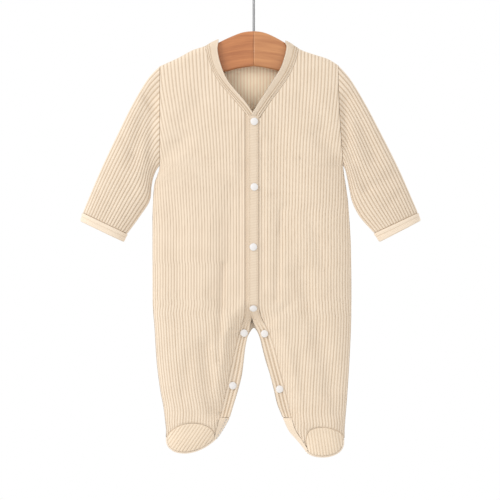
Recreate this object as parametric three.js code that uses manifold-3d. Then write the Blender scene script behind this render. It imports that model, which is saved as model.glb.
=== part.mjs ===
// A baby romper with closed feet on a small wooden hanger.
// Millimetres, +Z up, +X to the viewer's right, the front faces -Y.
// The origin is the inside top of the hook, where a rail would hold it.
import * as THREE from 'three';
import * as BufferGeometryUtils from 'three/addons/utils/BufferGeometryUtils.js';
import Module from 'manifold-3d';

const wasm = await Module();
wasm.setup();

// Cloth
const WALL = 2.0; // thickness of the rib knit without its ribs
const RIB_HEIGHT = 0.6; // how far a rib stands out of the wall
const RIBS_HALF_BODY = 30; // ribs from the snap band to the side seam
const RIBS_HALF_BACK = 32; // ribs from the back's centre to the side seam
const RIBS_HALF_SLEEVE = 18; // ribs on the front half of a sleeve
const RIBS_VAMP = 13; // ribs across the upper of a foot
const SEAM = 0.3; // gap between pieces that are sewn together
const CUT_SEAM = 0.6; // the same where a slanting edge cuts the ribs
const OVER_SHOULDER = 5.5; // depth below the shoulder line at which the neck band starts to curl over it
const INNER_CUT = 1.2; // how far a panel's inside stops short of its slanting edges
const FORK_SEAM = 1.4; // the same at the back of the crotch, where the seam turns
const FRONT = -1;
const BACK = 1;

// Levels that shape the body
const SHOULDER_Z = -150; // above it the ribs run straight up to the shoulder
const SHOULDER_RADIUS = 11; // rounding of the cloth over the hanger
const SHOULDER_SLOPE = 0.1; // how fast the cloth spreads below that rounding
const ARMPIT_Z = -270;
const ARMHOLE_SPREAD = 13; // half opening of the armhole, as spare width of the section
const CROTCH_Z = -483;
const FORK_Z = -467; // where the two front bands part
const BACK_FORK_Z = -465; // top of the back's snap band, with its seam
const ANKLE_Z = -600; // lower end of the snap bands
const FOOT_BLEND = 14; // height over which the leg's section becomes the foot's
const FOOT_ROUND = 25; // rounding of the foot's outline
const BAND_HALF = 3.1; // half the thickness of the two bands that are snapped together
const BAND_FLAT = 9; // how far they lie flat, from the inside of the leg
const BAND_RISE = 26; // width over which the leg then fills out
const TOE_Z = -652;
const TOE_FORWARD = 20; // how far the toes hang forward
const TOE_DROP = 38; // height over which they do

// Half depth of the garment and the rounding of its side edge, by height
const SECTIONS = [
  { z: -95, depth: 13, rounding: 60 },
  { z: -150, depth: 14, rounding: 60 },
  { z: -220, depth: 15.5, rounding: 60 },
  { z: -320, depth: 17.5, rounding: 60 },
  { z: -420, depth: 18, rounding: 60 },
  { z: -480, depth: 16.5, rounding: 50 },
  { z: -540, depth: 15, rounding: 40 },
  { z: -590, depth: 15.5, rounding: 34 },
  { z: -615, depth: 18.5, rounding: 26 },
  { z: -652, depth: 18.5, rounding: 26 },
];

// Half width from the centre to the side seam, and below the fork to the inside of the leg
const SIDES = [
  { z: -130, left: 123.3, right: 110.5 },
  { z: -180, left: 123.3, right: 111.4 },
  { z: -230, left: 123.3, right: 114.3 },
  { z: -270, left: 124.0, right: 117.6 },
  { z: -294, left: 131.0, right: 121.0 },
  { z: -313, left: 132.6, right: 123.7 },
  { z: -340, left: 133.4, right: 125.8 },
  { z: -382, left: 133.4, right: 128.1 },
  { z: -446, left: 133.3, right: 128.6 },
  { z: -482, left: 130.7, right: 127.9 },
  { z: -524, left: 128.1, right: 126.0 },
  { z: -566, left: 122.9, right: 123.4 },
  { z: -587, left: 118.9, right: 121.8 },
  { z: -608, left: 116.3, right: 120.0 },
  { z: -619, left: 115.3, right: 119.4 },
  { z: -630, left: 116.0, right: 119.4 },
  { z: -652, left: 112.0, right: 117.0 },
];
const INSIDES = [
  { z: -470, left: -10, right: -10 },
  { z: -483, left: 0, right: 0.9 },
  { z: -493, left: 7.6, right: 6.8 },
  { z: -503, left: 10.2, right: 9.4 },
  { z: -524, left: 12.8, right: 14.7 },
  { z: -545, left: 15.5, right: 21.2 },
  { z: -566, left: 20.7, right: 26.5 },
  { z: -587, left: 27.2, right: 31.7 },
  { z: -602, left: 31.8, right: 38.3 },
  { z: -619, left: 41.7, right: 46.1 },
  { z: -652, left: 80.0, right: 78.0 },
];

// Top of the shoulders over the hanger, by distance from the centre
const RIDGE = [
  { x: 0, left: -96, right: -97 },
  { x: 36, left: -99.2, right: -102 },
  { x: 46.5, left: -102.1, right: -106.2 },
  { x: 55.3, left: -105.9, right: -112 },
  { x: 64, left: -110.9, right: -117 },
  { x: 80.4, left: -116.5, right: -122.6 },
  { x: 98, left: -126, right: -128.5 },
  { x: 115, left: -133.9, right: -139.2 },
  { x: 129.4, left: -140.5, right: -148 },
];

// The neck band's two edges, from the V up the front to the shoulder: inner and outer
const NECK_BAND_LEFT = [
  { xIn: -2.6, zIn: -197.7, xOut: -7.8, zOut: -205.0 },
  { xIn: -9.0, zIn: -188.4, xOut: -17.6, zOut: -192.3 },
  { xIn: -16.5, zIn: -179.2, xOut: -27.3, zOut: -181.0 },
  { xIn: -24.3, zIn: -170.2, xOut: -36.2, zOut: -170.6 },
  { xIn: -31.4, zIn: -161.7, xOut: -43.8, zOut: -161.7 },
  { xIn: -36.6, zIn: -153.4, xOut: -49.8, zOut: -152 },
  { xIn: -40.3, zIn: -145.3, xOut: -55.1, zOut: -141.5 },
  { xIn: -43.6, zIn: -136, xOut: -58.3, zOut: -132 },
  { xIn: -46.2, zIn: -126, xOut: -60.6, zOut: -124.4 },
  { xIn: -47.6, zIn: -115, xOut: -62.3, zOut: -117.3 },
];
const NECK_BAND_RIGHT = [
  { xIn: -4.4, zIn: -204.2, xOut: 8.2, zOut: -206.6 },
  { xIn: 0.3, zIn: -196.6, xOut: 11.0, zOut: -201.6 },
  { xIn: 5.6, zIn: -187.9, xOut: 16.6, zOut: -193.7 },
  { xIn: 11.1, zIn: -179.2, xOut: 22.2, zOut: -185.3 },
  { xIn: 17.5, zIn: -169.4, xOut: 29.1, zOut: -176.1 },
  { xIn: 23.7, zIn: -159.1, xOut: 36.0, zOut: -166.6 },
  { xIn: 29.8, zIn: -150.2, xOut: 43.2, zOut: -156.3 },
  { xIn: 35.0, zIn: -141.5, xOut: 48.4, zOut: -147.8 },
  { xIn: 38.9, zIn: -131, xOut: 53.0, zOut: -137.4 },
  { xIn: 41.8, zIn: -120.3, xOut: 56.2, zOut: -128 },
  { xIn: 42.6, zIn: -111, xOut: 58.0, zOut: -119.5 },
];
const NECK_RIDGE = { leftIn: -46.5, leftOut: -63.5, rightIn: 41.5, rightOut: 58.4 };
const NECK_BAND_BACK = [
  { xIn: -42.4, zIn: -109.5, xOut: -60.4, zOut: -117.5 },
  { xIn: -38, zIn: -111.5, xOut: -57.5, zOut: -121 },
  { xIn: -30, zIn: -114.6, xOut: -49.0, zOut: -126.6 },
  { xIn: -18, zIn: -117.2, xOut: -29.5, zOut: -132.1 },
  { xIn: 0, zIn: -118.5, xOut: 0, zOut: -135.0 },
  { xIn: 18, zIn: -117.2, xOut: 29.5, zOut: -131.9 },
  { xIn: 28, zIn: -114.6, xOut: 48.5, zOut: -123.6 },
  { xIn: 35, zIn: -112, xOut: 55.6, zOut: -117.8 },
];

// The front's two snap bands, from the V to the ankle: the edge inside and the one at the seam
const BAND_RIGHT = [
  { z: -207.4, inner: -7.1, seam: 6.4 },
  { z: -250, inner: -7.1, seam: 6.4 },
  { z: -300, inner: -7.1, seam: 6.4 },
  { z: -350, inner: -7.1, seam: 6.4 },
  { z: -400, inner: -7.1, seam: 6.4 },
  { z: -445, inner: -7.1, seam: 6.4 },
  { z: -452, inner: -6.8, seam: 6.5 },
  { z: -458, inner: -6.0, seam: 6.9 },
  { z: -467, inner: -3.0, seam: 9.1 },
  { z: -476, inner: -0.2, seam: 13.2 },
  { z: -483, inner: 3.3, seam: 17.4 },
  { z: -495, inner: 8.7, seam: 22.6 },
  { z: -511, inner: 12.8, seam: 27.5 },
  { z: -535, inner: 19.4, seam: 33.4 },
  { z: -566, inner: 27.8, seam: 41.5 },
  { z: -584, inner: 32.2, seam: 45.5 },
  { z: -600, inner: 38.2, seam: 49.2 },
];
const BAND_LEFT = [
  { z: -207.6, inner: 2.9, seam: -11.5 },
  { z: -250, inner: 2.9, seam: -11.5 },
  { z: -300, inner: 2.9, seam: -11.5 },
  { z: -350, inner: 2.9, seam: -11.5 },
  { z: -400, inner: 2.9, seam: -11.5 },
  { z: -445, inner: 2.9, seam: -11.5 },
  { z: -452, inner: 2.6, seam: -11.5 },
  { z: -458, inner: 1.6, seam: -11.8 },
  { z: -467, inner: -1.2, seam: -12.4 },
  { z: -476, inner: -4.2, seam: -14.6 },
  { z: -484, inner: -5.6, seam: -17.4 },
  { z: -495, inner: -8.4, seam: -20.6 },
  { z: -511, inner: -11.6, seam: -24.4 },
  { z: -535, inner: -14.8, seam: -29.8 },
  { z: -566, inner: -21.6, seam: -36.4 },
  { z: -584, inner: -26.8, seam: -40.4 },
  { z: -600, inner: -31.6, seam: -44.0 },
];
const BAND_WALL = 2.2;
const BAND_RIDGE = 0.4; // height of the two ridges along each band
const BAND_LEVELS = { over: 1.4, under: -1.6, leg: 0.3 }; // above the panels at the front, and on the legs
// The back's snap band: its width at each height and how far its seam lies above its edge
const BACK_BAND = [
  { z: -600, wide: 13.5, up: 0 },
  { z: -584, wide: 13.5, up: 0 },
  { z: -566, wide: 13.5, up: 0 },
  { z: -545, wide: 13.5, up: 0 },
  { z: -524, wide: 13.5, up: 0 },
  { z: -508, wide: 13.5, up: 0.5 },
  { z: -497, wide: 12.6, up: 5 },
  { z: -489, wide: 11, up: 8.5 },
];

// Half sleeves: the edge from the shoulder to the cuff, and the edge from the armpit
const SLEEVE_LEFT = {
  top: [[-124.6, -139.2], [-137.3, -152.3], [-156.9, -183.7], [-180.5, -230.9], [-200.2, -272.8],
    [-224.9, -331.3]],
  low: [[-125.6, -268], [-132.6, -285], [-134.8, -296], [-137.2, -314.7], [-150.4, -335.7], [-167.0, -358.6]],
  cuff: { topX: -227.5, topZ: -342.7, lowX: -172.3, lowZ: -369.1 },
};
const SLEEVE_RIGHT = {
  top: [[112.0, -138.6], [124.7, -152.3], [144.4, -183.7], [169.3, -230.9], [190.2, -272.8], [215.8, -331.3]],
  low: [[119.2, -268], [123.0, -285], [126.0, -300], [130.0, -317], [139.6, -335.7], [158.8, -357.7]],
  cuff: { topX: 218.9, topZ: -341.9, lowX: 166.6, lowZ: -369.1 },
};
const SLEEVE_DEPTH = 12; // half depth of a sleeve
const SLEEVE_MERGE = 0.35; // part of its length over which the armhole's form fades out
const CUFF_WALL = 2.4;
const CUFF_RISE = 1.0; // how far the cuff stands round the sleeve's end

// Feet, by distance from the centre: the seam over the instep and the outline round the toes
const FOOT_LEFT = {
  instep: [[114.6, -626.5], [109.6, -619.2], [102.6, -613.4], [91.4, -608.4], [79.6, -607.1], [66.5, -608.9],
    [55.5, -614.4], [51.6, -621.2], [51.4, -629.2]],
  outline: [[31.7, -601.4], [41.7, -618.6], [49.5, -629.1], [63.9, -639.6], [78.3, -645.2], [91.4, -646.9],
    [103.2, -645.1], [109.8, -641.5], [113.7, -637.0], [115.6, -630.5], [115.3, -624.5]],
  heel: [[45.9, -601.5], [58, -598.5], [76, -597.5], [97, -602], [111.5, -617.5]],
  side: [[44.4, -600.4], [48.4, -613], [51.6, -627.6]],
};
const FOOT_RIGHT = {
  instep: [[118.4, -628], [114.4, -620.6], [106.0, -615.9], [92.2, -612.6], [81.5, -613.4], [73.6, -616.5],
    [69.2, -623.9], [68.4, -634.3], [70.6, -641.6]],
  outline: [[38.1, -601.5], [46.1, -618.6], [55.3, -629.1], [64.5, -639.6], [69.7, -646.1], [77.6, -650.1],
    [89.3, -651.6], [99.8, -650.6], [109.0, -647.4], [114.9, -642.9], [118.2, -637.0], [119.3, -627.5]],
  heel: [[51.4, -601.3], [64, -600], [82, -599.5], [102, -604.5], [115.5, -619]],
  side: [[49.6, -600.4], [54.5, -616], [63.5, -630], [69.8, -639.8]],
};
const SOLE_LIP = 2.4; // how far the sole turns up round the edge of the foot
const SOLE_REACH = [0, 0.97]; // the part of the outline that the sole goes round

// Soft folds: a trough from one point to another, its half width and its depth
const FOLDS = [
  { face: FRONT, x0: -62, z0: -508, x1: -54, z1: -590, width: 11, depth: 4.5 },
  { face: FRONT, x0: 62, z0: -410, x1: 104, z1: -560, width: 13, depth: 4.0 },
  { face: FRONT, x0: -28, z0: -300, x1: -34, z1: -455, width: 16, depth: 2.2 },
  { face: FRONT, x0: 30, z0: -230, x1: 44, z1: -350, width: 16, depth: 2.4 },
  { face: FRONT, x0: -118, z0: -262, x1: -92, z1: -236, width: 12, depth: 3.5 },
  { face: FRONT, x0: 112, z0: -262, x1: 88, z1: -228, width: 12, depth: 3.5 },
  { face: FRONT, x0: -104, z0: -330, x1: -96, z1: -470, width: 17, depth: 2.5 },
  { face: BACK, x0: -46, z0: -250, x1: -60, z1: -420, width: 18, depth: 3.0 },
  { face: BACK, x0: 40, z0: -270, x1: 66, z1: -440, width: 18, depth: 3.0 },
  { face: BACK, x0: 70, z0: -500, x1: 76, z1: -585, width: 12, depth: 4.0 },
  { face: BACK, x0: -78, z0: -495, x1: -70, z1: -580, width: 12, depth: 4.0 },
];
const SLEEVE_FOLDS = [
  { face: FRONT, x0: -136, z0: -176, x1: -160, z1: -262, width: 10, depth: 4.0 },
  { face: FRONT, x0: 128, z0: -184, x1: 158, z1: -258, width: 11, depth: 4.5 },
  { face: FRONT, x0: -160, z0: -300, x1: -192, z1: -282, width: 9, depth: 2.5 },
  { face: FRONT, x0: 150, z0: -300, x1: 184, z1: -284, width: 9, depth: 2.5 },
  { face: BACK, x0: -134, z0: -190, x1: -164, z1: -270, width: 11, depth: 4.0 },
  { face: BACK, x0: 126, z0: -196, x1: 160, z1: -270, width: 11, depth: 4.0 },
];

// Snap caps by place
const SNAPS = [
  { x: 0.5, z: -211.8 },
  { x: 0.6, z: -297.7 },
  { x: -0.6, z: -376.3 },
  { x: -0.6, z: -456.4 },
  { x: -12.9, z: -489.4 },
  { x: -27.8, z: -558.6 },
  { x: 14.3, z: -490.2 },
  { x: 34.0, z: -563.2 },
];
const SNAP_RADIUS = 5;
const SNAP_HEIGHT = 2.1;
const SNAP_SEGMENTS = 12;
const WOOD_STEPS = 26;

// Hanger
const WIRE_RADIUS = 1.7;
const HOOK_RADIUS = 19; // of the wire's centre line
const HOOK_TIP_ANGLE = 200; // degrees, measured from +X
const HOOK_END_ANGLE = -60;
const STEM_END_Z = -118; // inside the wood
const WOOD_HALF = 5; // half thickness
const WOOD_ROUND = 3.5;
const WOOD_LEFT = [[0, -92], [9, -92.6], [18.1, -94.6], [36.4, -102.2], [48, -108], [63.9, -116.4],
  [80, -119.7], [96.7, -128.8], [105, -135.5], [110.5, -143], [107, -152], [97, -156.5], [78, -154], [58, -149.5],
  [40.3, -146.2],
  [20.7, -141.1], [0, -137.9]];
const WOOD_RIGHT = [[0, -92], [9, -92.8], [18.1, -95.4], [33, -102.6], [46, -111], [57, -122.4], [66, -125.2],
  [80, -126], [92, -130], [100, -138], [105, -146], [101, -154], [92, -157.5], [76, -155], [58, -150.5],
  [40.3, -146.6], [20.7, -141.3], [0, -137.9]];

// Rows and columns of the meshes
const BODY_ROWS = 12;
const TOP_ROWS = [0, 2.5, 8]; // distances of the first rows from the top, for the rounding over the hanger
const ARMPIT_ROW = 5; // the row that runs across at the armpits
const SLEEVE_ROWS = 7;
const SLEEVE_START = 0.06; // where along a sleeve its first row after the armhole lies
const COARSE = 4; // outer columns to one inner column
const SECTION_STEPS = 72;
const EDGE_STEPS = 40;

const COLOURS = {
  knit: { color: 0xebd9c3, roughness: 0.92, metalness: 0 },
  binding: { color: 0xe6d2ba, roughness: 0.9, metalness: 0 },
  snap: { color: 0xe9e3e0, roughness: 0.35, metalness: 0 },
  woodLeft: { color: 0xc6845a, roughness: 0.5, metalness: 0 },
  woodRight: { color: 0xcb8f65, roughness: 0.5, metalness: 0 },
  wire: { color: 0xcecece, roughness: 0.25, metalness: 1 },
};

const clamp = (v, lo, hi) => Math.min(Math.max(v, lo), hi);
const lerp = (a, b, k) => a + (b - a) * k;
const smooth = (k) => {
  const c = clamp(k, 0, 1);
  return c * c * (3 - 2 * c);
};
// Height of a quarter of an ellipse at a distance from its end
const rounded = (distance, radius) => Math.sqrt(1 - (1 - clamp(distance / radius, 0, 1)) ** 2);

// A smooth curve through one column of a table, without overshoot
function through(rows, key, by) {
  const sorted = [...rows].sort((a, b) => a[by] - b[by]);
  const xs = sorted.map((row) => row[by]);
  const ys = sorted.map((row) => row[key]);
  const slopes = xs.slice(1).map((x, i) => (ys[i + 1] - ys[i]) / (x - xs[i]));
  const tangents = ys.map((_, i) => {
    if (i === 0 || i === ys.length - 1) return slopes[Math.min(i, slopes.length - 1)];
    const before = slopes[i - 1];
    const after = slopes[i];
    return before * after <= 0 ? 0 : (2 * before * after) / (before + after);
  });
  return (at) => {
    const x = clamp(at, xs[0], xs[xs.length - 1]);
    let i = 0;
    while (i < xs.length - 2 && x > xs[i + 1]) i += 1;
    const step = xs[i + 1] - xs[i];
    const k = (x - xs[i]) / step;
    const a = (1 + 2 * k) * (1 - k) ** 2 * ys[i] + k * (1 - k) ** 2 * step * tangents[i];
    return a + k * k * (3 - 2 * k) * ys[i + 1] + k * k * (k - 1) * step * tangents[i + 1];
  };
}

// A smooth path through points of the front view, as a function from 0 to 1
function pathOf(points) {
  const places = points.map(([x, z]) => new THREE.Vector3(x, 0, z));
  const curve = new THREE.CatmullRomCurve3(places, false, 'centripetal');
  return (u) => {
    const p = curve.getPointAt(clamp(u, 0, 1));
    return [p.x, p.z];
  };
}

const depthAt = through(SECTIONS, 'depth', 'z');
const roundingAt = through(SECTIONS, 'rounding', 'z');

function makeSide(name, sign, foot) {
  const outlinePath = pathOf(foot.outline);
  const sideAt = through(SIDES, name, 'z');
  const insideAt = through(INSIDES, name, 'z');
  const legs = [-560, -570, -580, -590];
  const edge = [
    ...legs.map((z) => [insideAt(z), z]),
    ...Array.from({ length: EDGE_STEPS + 1 }, (_, i) => outlinePath(i / EDGE_STEPS)),
    ...legs.reverse().map((z) => [sideAt(z), z]),
  ];
  return {
    name,
    sign,
    foot,
    edge,
    outline: outlinePath,
    side: sideAt,
    inside: insideAt,
    ridge: through(RIDGE, name, 'x'),
  };
}

const LEFT = makeSide('left', -1, FOOT_LEFT);
const RIGHT = makeSide('right', 1, FOOT_RIGHT);

// Distance from a point of the front view to a line of points
function distanceTo(line, x, z) {
  let best = Infinity;
  for (let i = 0; i < line.length - 1; i += 1) {
    const [ax, az] = line[i];
    const [bx, bz] = line[i + 1];
    const along = ((x - ax) * (bx - ax) + (z - az) * (bz - az)) / ((bx - ax) ** 2 + (bz - az) ** 2);
    const k = clamp(along, 0, 1);
    best = Math.min(best, Math.hypot(x - lerp(ax, bx, k), z - lerp(az, bz, k)));
  }
  return best;
}

// How deep the soft folds are at a point
function foldDepth(folds, face, x, z) {
  let total = 0;
  for (const fold of folds) {
    if (fold.face !== face) continue;
    const dx = fold.x1 - fold.x0;
    const dz = fold.z1 - fold.z0;
    const along = clamp(((x - fold.x0) * dx + (z - fold.z0) * dz) / (dx * dx + dz * dz), 0, 1);
    const off = Math.hypot(x - fold.x0 - along * dx, z - fold.z0 - along * dz);
    total += fold.depth * Math.exp(-((off / fold.width) ** 2));
  }
  return total;
}

// The toes hang forward of the leg
const middle = (z) => -TOE_FORWARD * clamp((TOE_Z + TOE_DROP - z) / TOE_DROP, 0, 1) ** 2;

// Where the section at this height closes at the side, or would close beyond the armhole
function closing(side, z) {
  const k = clamp((z - ARMPIT_Z) / 60, 0, 1);
  return side.side(z) + ARMHOLE_SPREAD * k * (2 - k);
}

// Half depth of the garment: how far its surface lies from the middle at a point of the front view.
// inset moves the surface inwards, so the same formula gives the outside and the inside of the wall.
function halfDepth(x, z, face, inset) {
  const side = x < 0 ? LEFT : RIGHT;
  const a = Math.abs(x);
  let h = (depthAt(z) - inset) * rounded(closing(side, z) - inset - a, roundingAt(z));
  if (z > -260) {
    const below = side.ridge(a) - inset - z;
    const radius = SHOULDER_RADIUS - inset;
    const top = radius * rounded(below, radius) + SHOULDER_SLOPE * Math.max(0, below - radius / 2);
    h = h > 0 && top > 0 ? (h ** -4 + top ** -4) ** -0.25 : 0;
  }
  if (h > 0) h = Math.max(h - foldDepth(FOLDS, face, x, z) * smooth(h / 14), Math.min(h, 1));
  if (z < CROTCH_Z + 60) {
    const from = z > CROTCH_Z ? Math.hypot(a, z - CROTCH_Z) : a - side.inside(z);
    const flat = BAND_HALF - inset;
    const leg = h > flat ? flat + (h - flat) * smooth((from - BAND_FLAT) / BAND_RISE) : h;
    const isFoot = smooth((ANKLE_Z + FOOT_BLEND / 2 - z) / FOOT_BLEND);
    const fromEdge = isFoot > 0 ? distanceTo(side.edge, a, z) - inset : 0;
    const foot = (depthAt(z) - inset) * rounded(fromEdge, FOOT_ROUND);
    h = lerp(leg, foot, isFoot);
  }
  return h;
}

// A point of the garment's surface
function onBody(x, z, face, inset) {
  const side = x < 0 ? LEFT : RIGHT;
  const low = Math.min(z, side.ridge(Math.abs(x)) - inset);
  return [x, middle(low) + face * (halfDepth(x, low, face, inset) + SEAM / 2), low];
}

// Positions at equal steps of length along a line of points; each point carries its own value
function evenly(line, count) {
  const lengths = [0];
  for (let i = 1; i < line.length; i += 1) {
    const [a, b] = [line[i - 1].at, line[i].at];
    lengths.push(lengths[i - 1] + Math.hypot(b[0] - a[0], b[1] - a[1], b[2] - a[2]));
  }
  const total = lengths[lengths.length - 1];
  let i = 0;
  return Array.from({ length: count + 1 }, (_, n) => {
    const want = (total * n) / count;
    while (i < line.length - 2 && lengths[i + 1] < want) i += 1;
    const k = clamp((want - lengths[i]) / Math.max(lengths[i + 1] - lengths[i], 1e-9), 0, 1);
    return lerp(line[i].value, line[i + 1].value, k);
  });
}

// One half of a panel at a given height: places by length along the cloth, from the side seam inwards
function sectionOf(side, face, seamAt, z, inset) {
  const low = seamAt(z);
  const high = Math.min(z > ARMPIT_Z ? side.side(z) : Infinity, closing(side, z) - inset);
  const line = [];
  let length = 0;
  let before = null;
  for (let i = 0; i <= SECTION_STEPS; i += 1) {
    const a = lerp(high, low, (1 - Math.cos((Math.PI * i) / SECTION_STEPS)) / 2);
    const h = halfDepth(side.sign * a, z, face, inset);
    if (before) length += Math.hypot(a - before.a, h - before.h);
    before = { a, h, length };
    line.push(before);
  }
  return line;
}
function placeAt(line, length) {
  let i = 0;
  while (i < line.length - 2 && line[i + 1].length < length) i += 1;
  const k = clamp((length - line[i].length) / Math.max(line[i + 1].length - line[i].length, 1e-9), 0, 1);
  return lerp(line[i].a, line[i + 1].a, k);
}
const lengthOf = (line) => line[line.length - 1].length;

function rowHeight(column, r) {
  const last = TOP_ROWS.length - 1;
  if (r <= last) return column.top - TOP_ROWS[r];
  if (r <= ARMPIT_ROW) return lerp(column.top - TOP_ROWS[last], ARMPIT_Z, (r - last) / (ARMPIT_ROW - last));
  return lerp(ARMPIT_Z, column.bottom, (r - ARMPIT_ROW) / (BODY_ROWS - ARMPIT_ROW));
}

// The ribs of half a panel: each runs at a constant part of the cloth's width down to the fork,
// and at a constant distance from the side seam below it, where the inside of the leg cuts it off.
function halfPanel(side, face, seamAt, forkZ, topAt, bottomAt, ribs) {
  const forkLength = lengthOf(sectionOf(side, face, seamAt, forkZ, 0));
  const widthAt = (z) => (z >= forkZ ? lengthOf(sectionOf(side, face, seamAt, z, 0)) : forkLength);
  const place = (part, z, inset) => {
    const level = Math.min(z, SHOULDER_Z);
    const outer = sectionOf(side, face, seamAt, level, 0);
    const line = inset === 0 ? outer : sectionOf(side, face, seamAt, level, inset);
    const length = (1 - part) * widthAt(level);
    return placeAt(line, length * (lengthOf(line) / lengthOf(outer)));
  };
  // Height where a rib meets a border of the panel, found by halving
  const meet = (part, above, high, low) => {
    let [top, bottom] = [high, low];
    for (let i = 0; i < 22; i += 1) {
      const z = (top + bottom) / 2;
      if (above(place(part, z, 0), z)) top = z;
      else bottom = z;
    }
    return (top + bottom) / 2;
  };
  const columns = [];
  for (let c = 0; c <= 2 * ribs; c += 1) {
    const part = c / (2 * ribs);
    const top = meet(part, (a, z) => z > topAt(a), -93, -230);
    const uncut = (a, z) => (1 - part) * forkLength < lengthOf(sectionOf(side, face, seamAt, z, 0));
    const cut = meet(part, uncut, forkZ, -640);
    const end = meet(part, (a, z) => z > bottomAt(a), forkZ, -650);
    columns.push({ part, top, bottom: Math.max(cut, end), crest: c % 2 === 1 });
  }
  const grid = (picked, insetOf) => picked.map((column) => Array.from({ length: BODY_ROWS + 1 }, (_, r) => {
    const inset = insetOf(column);
    const cut = inset > 0 ? INNER_CUT : 0;
    const z = rowHeight({ top: column.top - cut, bottom: column.bottom + cut }, r);
    return onBody(side.sign * place(column.part, z, inset), z, face, inset);
  }));
  return {
    outer: grid(columns, (column) => (column.crest ? -RIB_HEIGHT : 0)),
    inner: grid(columns.filter((_, c) => c % COARSE === 0 || c === 2 * ribs), () => WALL),
  };
}

// A closed solid between an outer and an inner grid of points. A tube's columns go all round.
function shell(outer, inner, tube = false) {
  const points = [];
  const faces = [];
  const index = (grid) => grid.map((column) => column.map((p) => points.push(p) - 1));
  const o = index(outer);
  const n = index(inner);
  const rows = outer[0].length - 1;
  const skin = (grid, flip) => {
    const count = tube ? grid.length : grid.length - 1;
    for (let c = 0; c < count; c += 1) {
      const [a, b] = [grid[c], grid[(c + 1) % grid.length]];
      for (let r = 0; r < rows; r += 1) {
        const quad = [[a[r], b[r], b[r + 1]], [a[r], b[r + 1], a[r + 1]]];
        for (const [i, j, k] of quad) faces.push(flip ? [k, j, i] : [i, j, k]);
      }
    }
  };
  skin(o, false);
  skin(n, true);
  const cells = tube ? n.length : n.length - 1;
  const each = Math.round((tube ? outer.length : outer.length - 1) / cells);
  for (const row of [0, rows]) {
    for (let c = 0; c < cells; c += 1) {
      const first = c * each;
      const last = tube ? first + each : Math.min(first + each, outer.length - 1);
      const [a, b] = [n[c][row], n[(c + 1) % n.length][row]];
      const turn = Math.floor((first + last) / 2);
      for (let k = first; k < last; k += 1) {
        const [p, q] = [o[k][row], o[(k + 1) % o.length][row]];
        const from = k < turn ? a : b;
        faces.push(row === 0 ? [q, p, from] : [p, q, from]);
      }
      const mid = o[turn % o.length][row];
      faces.push(row === 0 ? [mid, a, b] : [a, mid, b]);
    }
  }
  if (!tube) {
    for (const [p, q, flip] of [[o[0], n[0], false], [o[o.length - 1], n[n.length - 1], true]]) {
      for (let r = 0; r < rows; r += 1) {
        const quad = [[p[r], p[r + 1], q[r + 1]], [p[r], q[r + 1], q[r]]];
        for (const [i, j, k] of quad) faces.push(flip ? [k, j, i] : [i, j, k]);
      }
    }
  }
  let volume = 0;
  for (const [i, j, k] of faces) {
    const [a, b, c] = [points[i], points[j], points[k]];
    volume += a[0] * (b[1] * c[2] - b[2] * c[1]) - a[1] * (b[0] * c[2] - b[2] * c[0])
      + a[2] * (b[0] * c[1] - b[1] * c[0]);
  }
  const geometry = new THREE.BufferGeometry();
  geometry.setAttribute('position', new THREE.Float32BufferAttribute(points.flat(), 3));
  geometry.setIndex(faces.flatMap(([i, j, k]) => (volume < 0 ? [k, j, i] : [i, j, k])));
  return geometry;
}

const group = new THREE.Group();
function add(name, geometry, look) {
  geometry.computeVertexNormals();
  const mesh = new THREE.Mesh(geometry, new THREE.MeshStandardMaterial(COLOURS[look]));
  mesh.name = name;
  group.add(mesh);
  return mesh;
}

// Points along a smooth path of the front view
const stepsOf = (points) => {
  const path = pathOf(points);
  return Array.from({ length: EDGE_STEPS + 1 }, (_, i) => path(i / EDGE_STEPS));
};

// Where a line of points passes a distance from the centre (its height there), or a height
function cross(line, key, at, pick) {
  const other = 1 - key;
  let best = null;
  for (let i = 0; i < line.length - 1; i += 1) {
    const [p, q] = line[i][key] < line[i + 1][key] ? [line[i], line[i + 1]] : [line[i + 1], line[i]];
    if (at < p[key] || at > q[key] || p[key] === q[key]) continue;
    const value = lerp(p[other], q[other], (at - p[key]) / (q[key] - p[key]));
    best = best === null ? value : pick(best, value);
  }
  return best;
}

// The neck band's seam on a panel, as a line of points
function neckSeam(side, face) {
  const frontRows = side === LEFT ? NECK_BAND_LEFT : NECK_BAND_RIGHT;
  const backRows = NECK_BAND_BACK.filter((row) => row.xOut * side.sign >= 0);
  const end = Math.abs(NECK_RIDGE[`${side.name}Out`]);
  const rows = (face === FRONT ? frontRows : backRows).map((row) => [Math.abs(row.xOut), row.zOut]);
  return [...rows, [end, side.ridge(end) - OVER_SHOULDER], [end, side.ridge(end)]]
    .sort((a, b) => a[0] - b[0])
    .map(([a, z]) => [a + CUT_SEAM, z - CUT_SEAM]);
}
function topOf(side, face) {
  const seam = neckSeam(side, face);
  const [first, last] = [seam[0], seam[seam.length - 1]];
  return (a) => {
    if (a >= last[0] + 2) return side.ridge(a);
    if (a >= last[0]) return last[1] - OVER_SHOULDER;
    return a <= first[0] + 2 ? first[1] - CUT_SEAM : Math.min(cross(seam, 0, a, Math.min), side.ridge(a));
  };
}

// A panel's lower border on a foot's seam, which ends at the same height beyond its two ends
function bottomOf(seam) {
  const line = stepsOf(seam);
  const ends = [line[0], line[line.length - 1]].sort((a, b) => a[0] - b[0]);
  return (a) => (cross(line, 0, a, Math.max) ?? (a < ends[0][0] ? ends[0][1] : ends[1][1])) + CUT_SEAM;
}

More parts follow.
